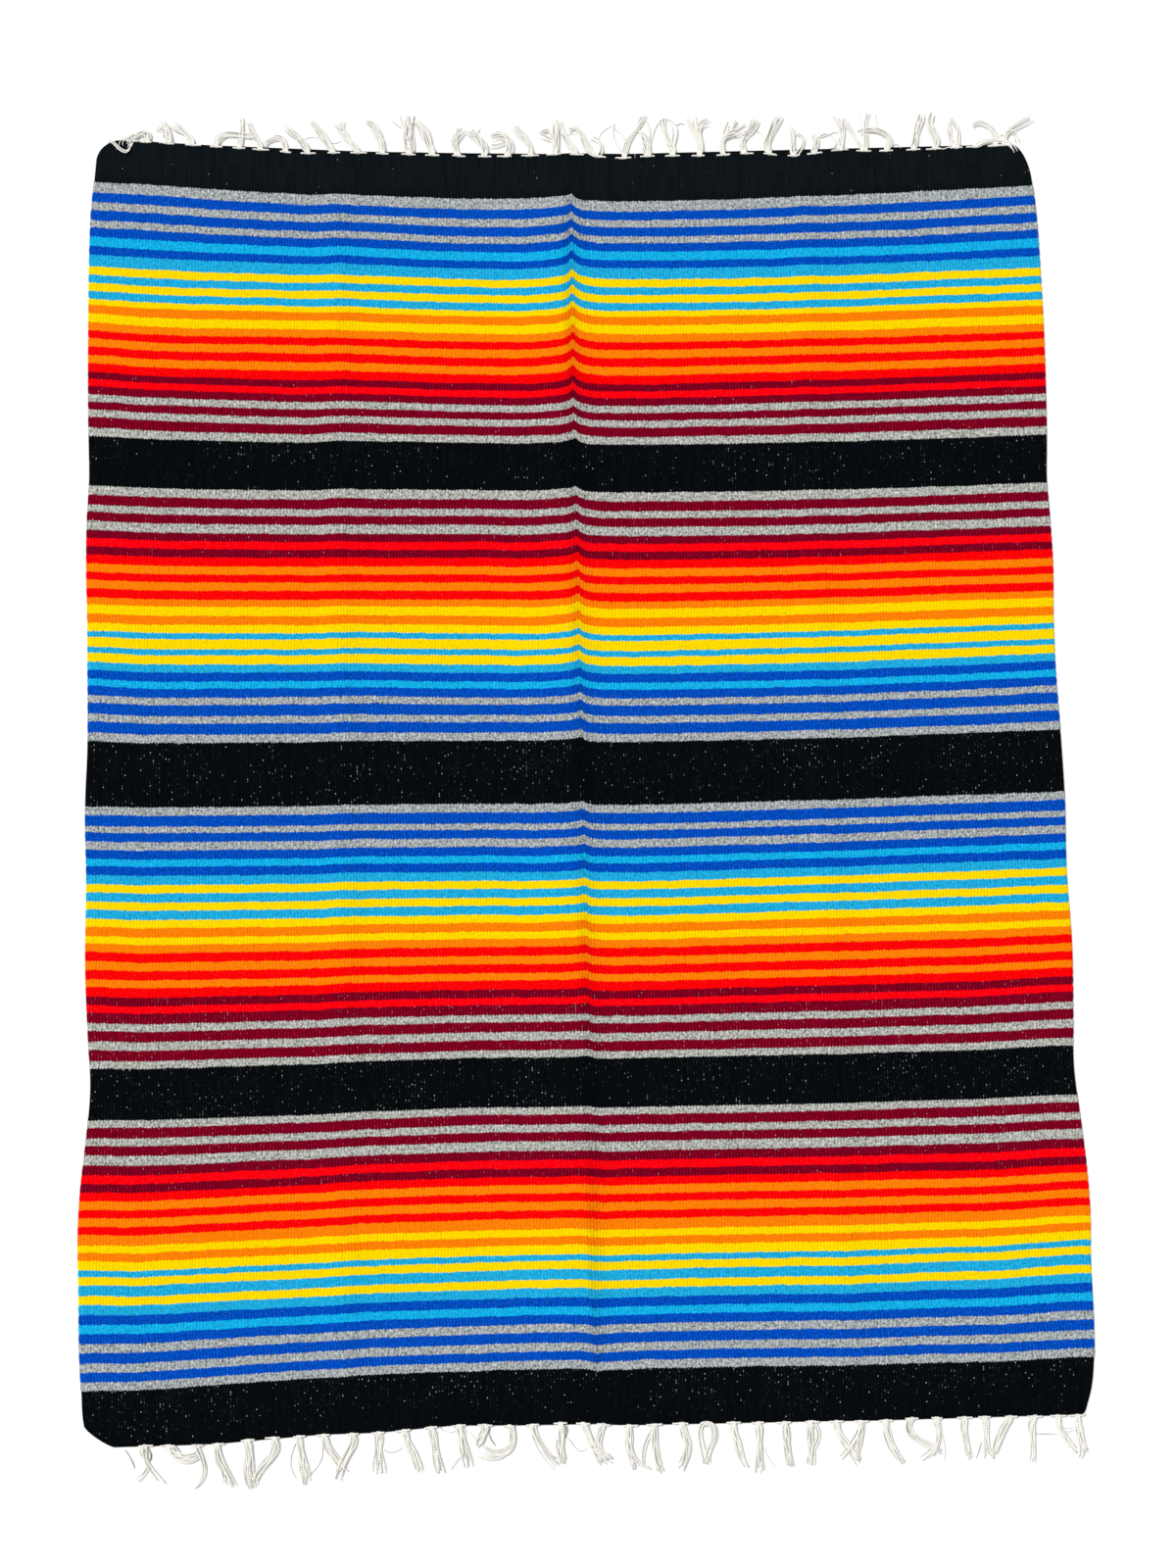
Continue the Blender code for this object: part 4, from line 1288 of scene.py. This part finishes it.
        cloth = add_piece("woven_cloth", points, quads.reshape(-1, 4).tolist() + ends, finish.material())
        add_map(cloth.data, "weave", x, stripe)
        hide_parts("serape_cloth")
        return cloth


class End(Enum):
    """The two ends of the cloth."""
    FAR = Hem(woven=0.0, outward=1, pitch=0.001557, foot=-1.0, root=-1.6)
    NEAR = Hem(woven=LENGTH, outward=-1, pitch=0.001488, foot=0.5, root=-0.5)


@dataclass(frozen=True)
class Fringe:
    """The loose warp ends along one hem, gathered in locks that start on short flat feet.

    neck is the half width of a lock where it starts and foot_reach that of its foot, in steps. radii are the
    least and largest radius of a yarn in a lock. Yarns are shorter by up to the share uneven, and their tips
    stray aside by about stray. They follow the hem's line over hem_reach and come down from the cloth's
    top over lift_reach.
    """
    lay: Lay
    name: str
    node: str
    end: End
    locks: tuple[Lock, ...]
    wisps: tuple[Wisp, ...]
    seed: int
    steps: int = 18
    sides: int = 6
    fullness: float = 1.6
    neck: float = 1.3
    radii: tuple[float, float] = (0.0005, 0.0013)
    foot_reach: float = 7.5
    foot_radius: float = 0.0013
    uneven: float = 0.12
    stray: float = 0.0016
    hem_reach: float = 0.006
    lift_reach: float = 0.004

    def bends(self) -> tuple[Array, Array, Array, Array]:
        """Four points of every yarn from its root, its place in its lock, its radius and its brownness.

        Each row of the locks gives two yarns for each of its ends, and each root also gets four short
        yarns that lie along the hem, two to each side, as the foot of the tassel. The wisps follow.

        Returns:
            Roots with four points each in steps of the pitch, places with half widths at body and tip,
            radii, and brownness.
        """
        rng = np.random.default_rng(self.seed)
        hem = self.end.value
        ends = column(self.locks, "ends").astype(int) * 2
        each = np.repeat(np.array(self.locks, dtype=float), ends, axis=0)
        width, fan = (np.repeat(column(self.locks, name), ends) for name in ("width", "fan"))
        order = np.arange(len(each)) - np.repeat(np.cumsum(ends) - ends, ends)
        place = order / np.repeat(ends - 1, ends) * 2 - 1
        start = np.stack([place * self.neck, np.full_like(place, hem.root)], axis=1)
        points = np.concatenate([each[:, :1], start, each[:, 1:7]], axis=1)
        body = np.stack([place, width / 2, fan / 2], axis=1)
        radius = np.clip(width * hem.pitch / 2 / np.repeat(ends, ends) * self.fullness, *self.radii)
        roots = np.unique(column(self.locks, "root"))
        side = np.tile([-1.0, -0.7, 0.7, 1.0], len(roots))
        reach = side * self.foot_reach * rng.uniform(0.7, 1.2, len(side))
        low = hem.foot + rng.uniform(-0.35, 0.35, len(side))
        rows = [np.repeat(roots, 4), reach, low, reach * 0.55, low + 0.3, side * self.neck, low + 0.8,
                side * 0.5, np.full_like(side, 5.0)]
        feet = np.stack(rows, axis=1)
        threads = np.array(self.wisps, dtype=float)
        single = np.zeros((len(feet) + len(threads), 3))
        spots = np.concatenate([points, feet, threads[:, :9]])
        spread = np.concatenate([body, single])
        thick = column(self.wisps, "thick") * 0.0001
        sizes = np.concatenate([radius, np.full_like(side, self.foot_radius), thick])
        plain = 0.45 * rng.random(len(points)) ** 2
        brown = np.concatenate([plain, 0.1 * rng.random(len(feet)), column(self.wisps, "brown")])
        return spots, spread, sizes, brown

    def paths(self, spots: Array, spread: Array, sizes: Array) -> Array:
        """Middle lines of all yarns.

        A yarn's line is the cubic curve through its four points at 0, 1/3, 2/3 and 1. It keeps its place
        in the lock to the side of that line, closes in towards the neck, fans out towards the tip, and
        weaves in and out in a slow wave. It lies on the floor, on the hem, or on the yarns below it.

        Args:
            spots: Root in millimetres and four points in steps of the pitch, one row for each yarn.
            spread: Place in the lock and half widths at body and tip.
            sizes: Radii.

        Returns:
            Points by yarn and step.
        """
        rng = np.random.default_rng(self.seed + 50)
        count = len(spots)
        outward, pitch = self.end.value.outward, self.end.value.pitch
        t = np.linspace(0, 1, self.steps)[None, :] * (1 - self.uneven * rng.random((count, 1)) ** 2)
        cubic = np.stack([-4.5 * (t - 1 / 3) * (t - 2 / 3) * (t - 1), 13.5 * t * (t - 2 / 3) * (t - 1),
                          -13.5 * t * (t - 1 / 3) * (t - 1), 4.5 * t * (t - 1 / 3) * (t - 2 / 3)], axis=-1)
        points = spots[:, 1:].reshape(count, 4, 2) * pitch
        line = np.einsum("nsk,nkd->nsd", cubic, points)
        way = np.gradient(line, axis=1)
        way /= np.maximum(np.linalg.norm(way, axis=-1, keepdims=True), 1e-6)
        row, body, fan = (spread[:, k, None] for k in range(3))
        half = body * (0.75 + 0.25 * fade(t, 0.35)) + (fan - body) * t ** 3
        wave = np.sin(2 * math.pi * (t * rng.uniform(0.6, 1.5, (count, 1)) + rng.random((count, 1))))
        aside = (row * half + wave * 0.30 * body * fade(t, 0.3)) * pitch * fade(t, 0.12)
        aside = aside + rng.standard_normal((count, 1)) * self.stray * t ** 4 * (body > 0)
        side = line[..., 0] + aside * way[..., 1]
        out = line[..., 1] - aside * way[..., 0]
        hem_x, hem_y = self.lay.hem_line(self.end.value.woven)
        x = spots[:, :1] * MM + side
        start = np.interp(spots[:, 0] * MM, hem_x, hem_y)[:, None]
        along = np.exp(-np.abs(out) / self.hem_reach)
        level = start * (1 - along) + np.interp(x, hem_x, hem_y) * along
        y = level + outward * out
        gap = outward * (y - np.interp(x, hem_x, hem_y))
        on_hem = np.exp(-np.clip(gap + 0.0005, 0, None) / self.lift_reach)
        layer = rng.integers(0, 3, (count, 1)) * 0.8 * (body > 0) + 0.3 * rng.random((count, 1))
        z = sizes[:, None] * (1 + layer * fade(t, 0.12)) + self.lay.thickness * on_hem
        return np.stack([x, y, z], axis=-1)

    def build(self, finish: bpy.types.Material) -> bpy.types.Object:
        """Build the fringe as one mesh of thin tubes.

        Round each point of a path stands a ring: the path plus its radius times the cosine of the angle
        along the level side direction and the sine along the upward one. The radius falls to half at the
        tip.

        Args:
            finish: The yarn's material.

        Returns:
            The fringe.
        """
        spots, spread, sizes, brown = self.bends()
        paths = self.paths(spots, spread, sizes)
        count = len(paths)
        way = np.gradient(paths, axis=1)
        way /= np.linalg.norm(way, axis=-1, keepdims=True)
        level = np.cross(way, [0.0, 0.0, 1.0])
        level /= np.linalg.norm(level, axis=-1, keepdims=True)
        upward = np.cross(level, way)
        share = np.linspace(0, 1, self.steps)
        radius = (sizes[:, None] * (1 - 0.5 * share ** 6))[:, :, None, None]
        angle = np.arange(self.sides) * 2 * math.pi / self.sides
        ring = np.cos(angle)[:, None] * level[:, :, None, :] + np.sin(angle)[:, None] * upward[:, :, None, :]
        points = paths[:, :, None, :] + radius * ring
        points[..., 2] = np.maximum(points[..., 2], 0.0001)
        start = (np.arange(count)[:, None] * self.steps + np.arange(self.steps - 1)) * self.sides
        here, there = np.arange(self.sides), (np.arange(self.sides) + 1) % self.sides
        start = start[:, :, None]
        after = start + self.sides
        quads = np.stack([start + here, start + there, after + there, after + here], axis=-1)
        first = np.arange(count)[:, None] * self.steps * self.sides
        caps = np.concatenate([first + here[::-1], first + (self.steps - 1) * self.sides + here])
        faces = quads.reshape(-1, 4).tolist() + caps.tolist()
        fringe = add_piece(self.name, points, faces, finish)
        distance = np.cumsum(np.linalg.norm(np.diff(paths, axis=1, prepend=paths[:, :1]), axis=-1), axis=1)
        shape = (count, self.steps, self.sides)
        around = np.broadcast_to(np.arange(self.sides) / self.sides, shape)
        add_map(fringe.data, "yarn", around, np.broadcast_to(distance[:, :, None], shape))
        values = np.broadcast_to(brown[:, None, None], shape).astype(np.float32).ravel()
        fringe.data.attributes.new("brown", "FLOAT", "POINT").data.foreach_set("value", values)
        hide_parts(self.node)
        return fringe


@dataclass(frozen=True)
class Studio:
    """A plain pale floor, one wide soft light from the upper left, and a camera nearly straight above."""
    floor_half: float = 9.0
    floor_cells: int = 4
    floor_drop: float = 0.0004
    floor_shade: Colour = (0.90, 0.90, 0.90)
    sky: float = 0.56
    sun: float = 2.70
    sun_turn: tuple[float, float, float] = (-24.0, -32.0, 0.0)
    sun_angle: float = 22.0
    camera_place: tuple[float, float, float] = (0.0126, -0.271, 3.3725)
    camera_turn: tuple[float, float, float] = (4.43, 0.0, -1.2)
    lens: float = 50.0
    sensor: float = 36.0

    def build(self) -> None:
        """Build the floor, the lights and the camera."""
        self.build_floor()
        self.build_lights()
        self.build_camera()

    def build_floor(self) -> None:
        """A level grid just under the cloth."""
        tree = Tree("studio_floor")
        place = tree.wire(tree.add("TexCoord", {}, {}), "Object")
        tree.feed(tree.shader, {
            "Base Color": (*self.floor_shade, 1.0),
            "Roughness": 0.85 + tree.noise(place, 3.0) * 0.1,
            "Specular IOR Level": 0.1,
        })
        cells, wide = self.floor_cells, self.floor_cells + 1
        side = np.linspace(-self.floor_half, self.floor_half, wide)
        x, y = np.meshgrid(side, side)
        points = np.stack([x, y, np.full_like(x, -self.floor_drop)], axis=-1).reshape(-1, 3)
        first = (np.arange(cells)[:, None] * wide + np.arange(cells)).ravel()
        quads = np.stack([first, first + 1, first + wide + 1, first + wide], axis=-1)
        mesh = bpy.data.meshes.new("studio_floor")
        mesh.from_pydata(points.tolist(), [], quads.tolist())
        mesh.materials.append(tree.material)
        floor = add_object("studio_floor", mesh)

    def build_lights(self) -> None:
        """An even pale surround and one wide soft light."""
        world = bpy.data.worlds.new("studio")
        world.use_nodes = True
        surround = world.node_tree.nodes["Background"]
        surround.inputs["Color"].default_value = (1.0, 1.0, 1.0, 1.0)
        surround.inputs["Strength"].default_value = self.sky
        bpy.context.scene.world = world
        lamp = bpy.data.lights.new("soft_light", "SUN")
        lamp.energy = self.sun
        lamp.angle = math.radians(self.sun_angle)
        light = add_object("soft_light", lamp)
        light.rotation_euler = [math.radians(turn) for turn in self.sun_turn]

    def build_camera(self) -> None:
        """The camera of the photograph, and a plain display curve."""
        lens = bpy.data.cameras.new("camera")
        lens.lens = self.lens
        lens.sensor_width = self.sensor
        camera = add_object("camera", lens)
        camera.location = self.camera_place
        camera.rotation_euler = [math.radians(turn) for turn in self.camera_turn]
        bpy.context.scene.camera = camera
        bpy.context.scene.view_settings.view_transform = "Standard"


def report(pieces: Iterable[bpy.types.Object]) -> None:
    """Log each piece's face count.

    Args:
        pieces: The pieces that were built.
    """
    for piece in pieces:
        LOG.info("%s: %d faces", piece.name, len(piece.data.polygons))


def main() -> None:
    logging.basicConfig(level=logging.INFO, format="%(name)s: %(message)s")
    Studio().build()
    lay = Lay()
    cloth = Cloth(lay).build(StripedWeave())
    cotton = WarpCotton().material()
    far = Fringe(lay, "warp_fringe_far", "fringe_far", End.FAR, FAR_LOCKS, FAR_WISPS, 3).build(cotton)
    near = Fringe(lay, "warp_fringe_near", "fringe_near", End.NEAR, NEAR_LOCKS, NEAR_WISPS, 8).build(cotton)
    report([cloth, far, near])


if __name__ == "__main__":
    main()
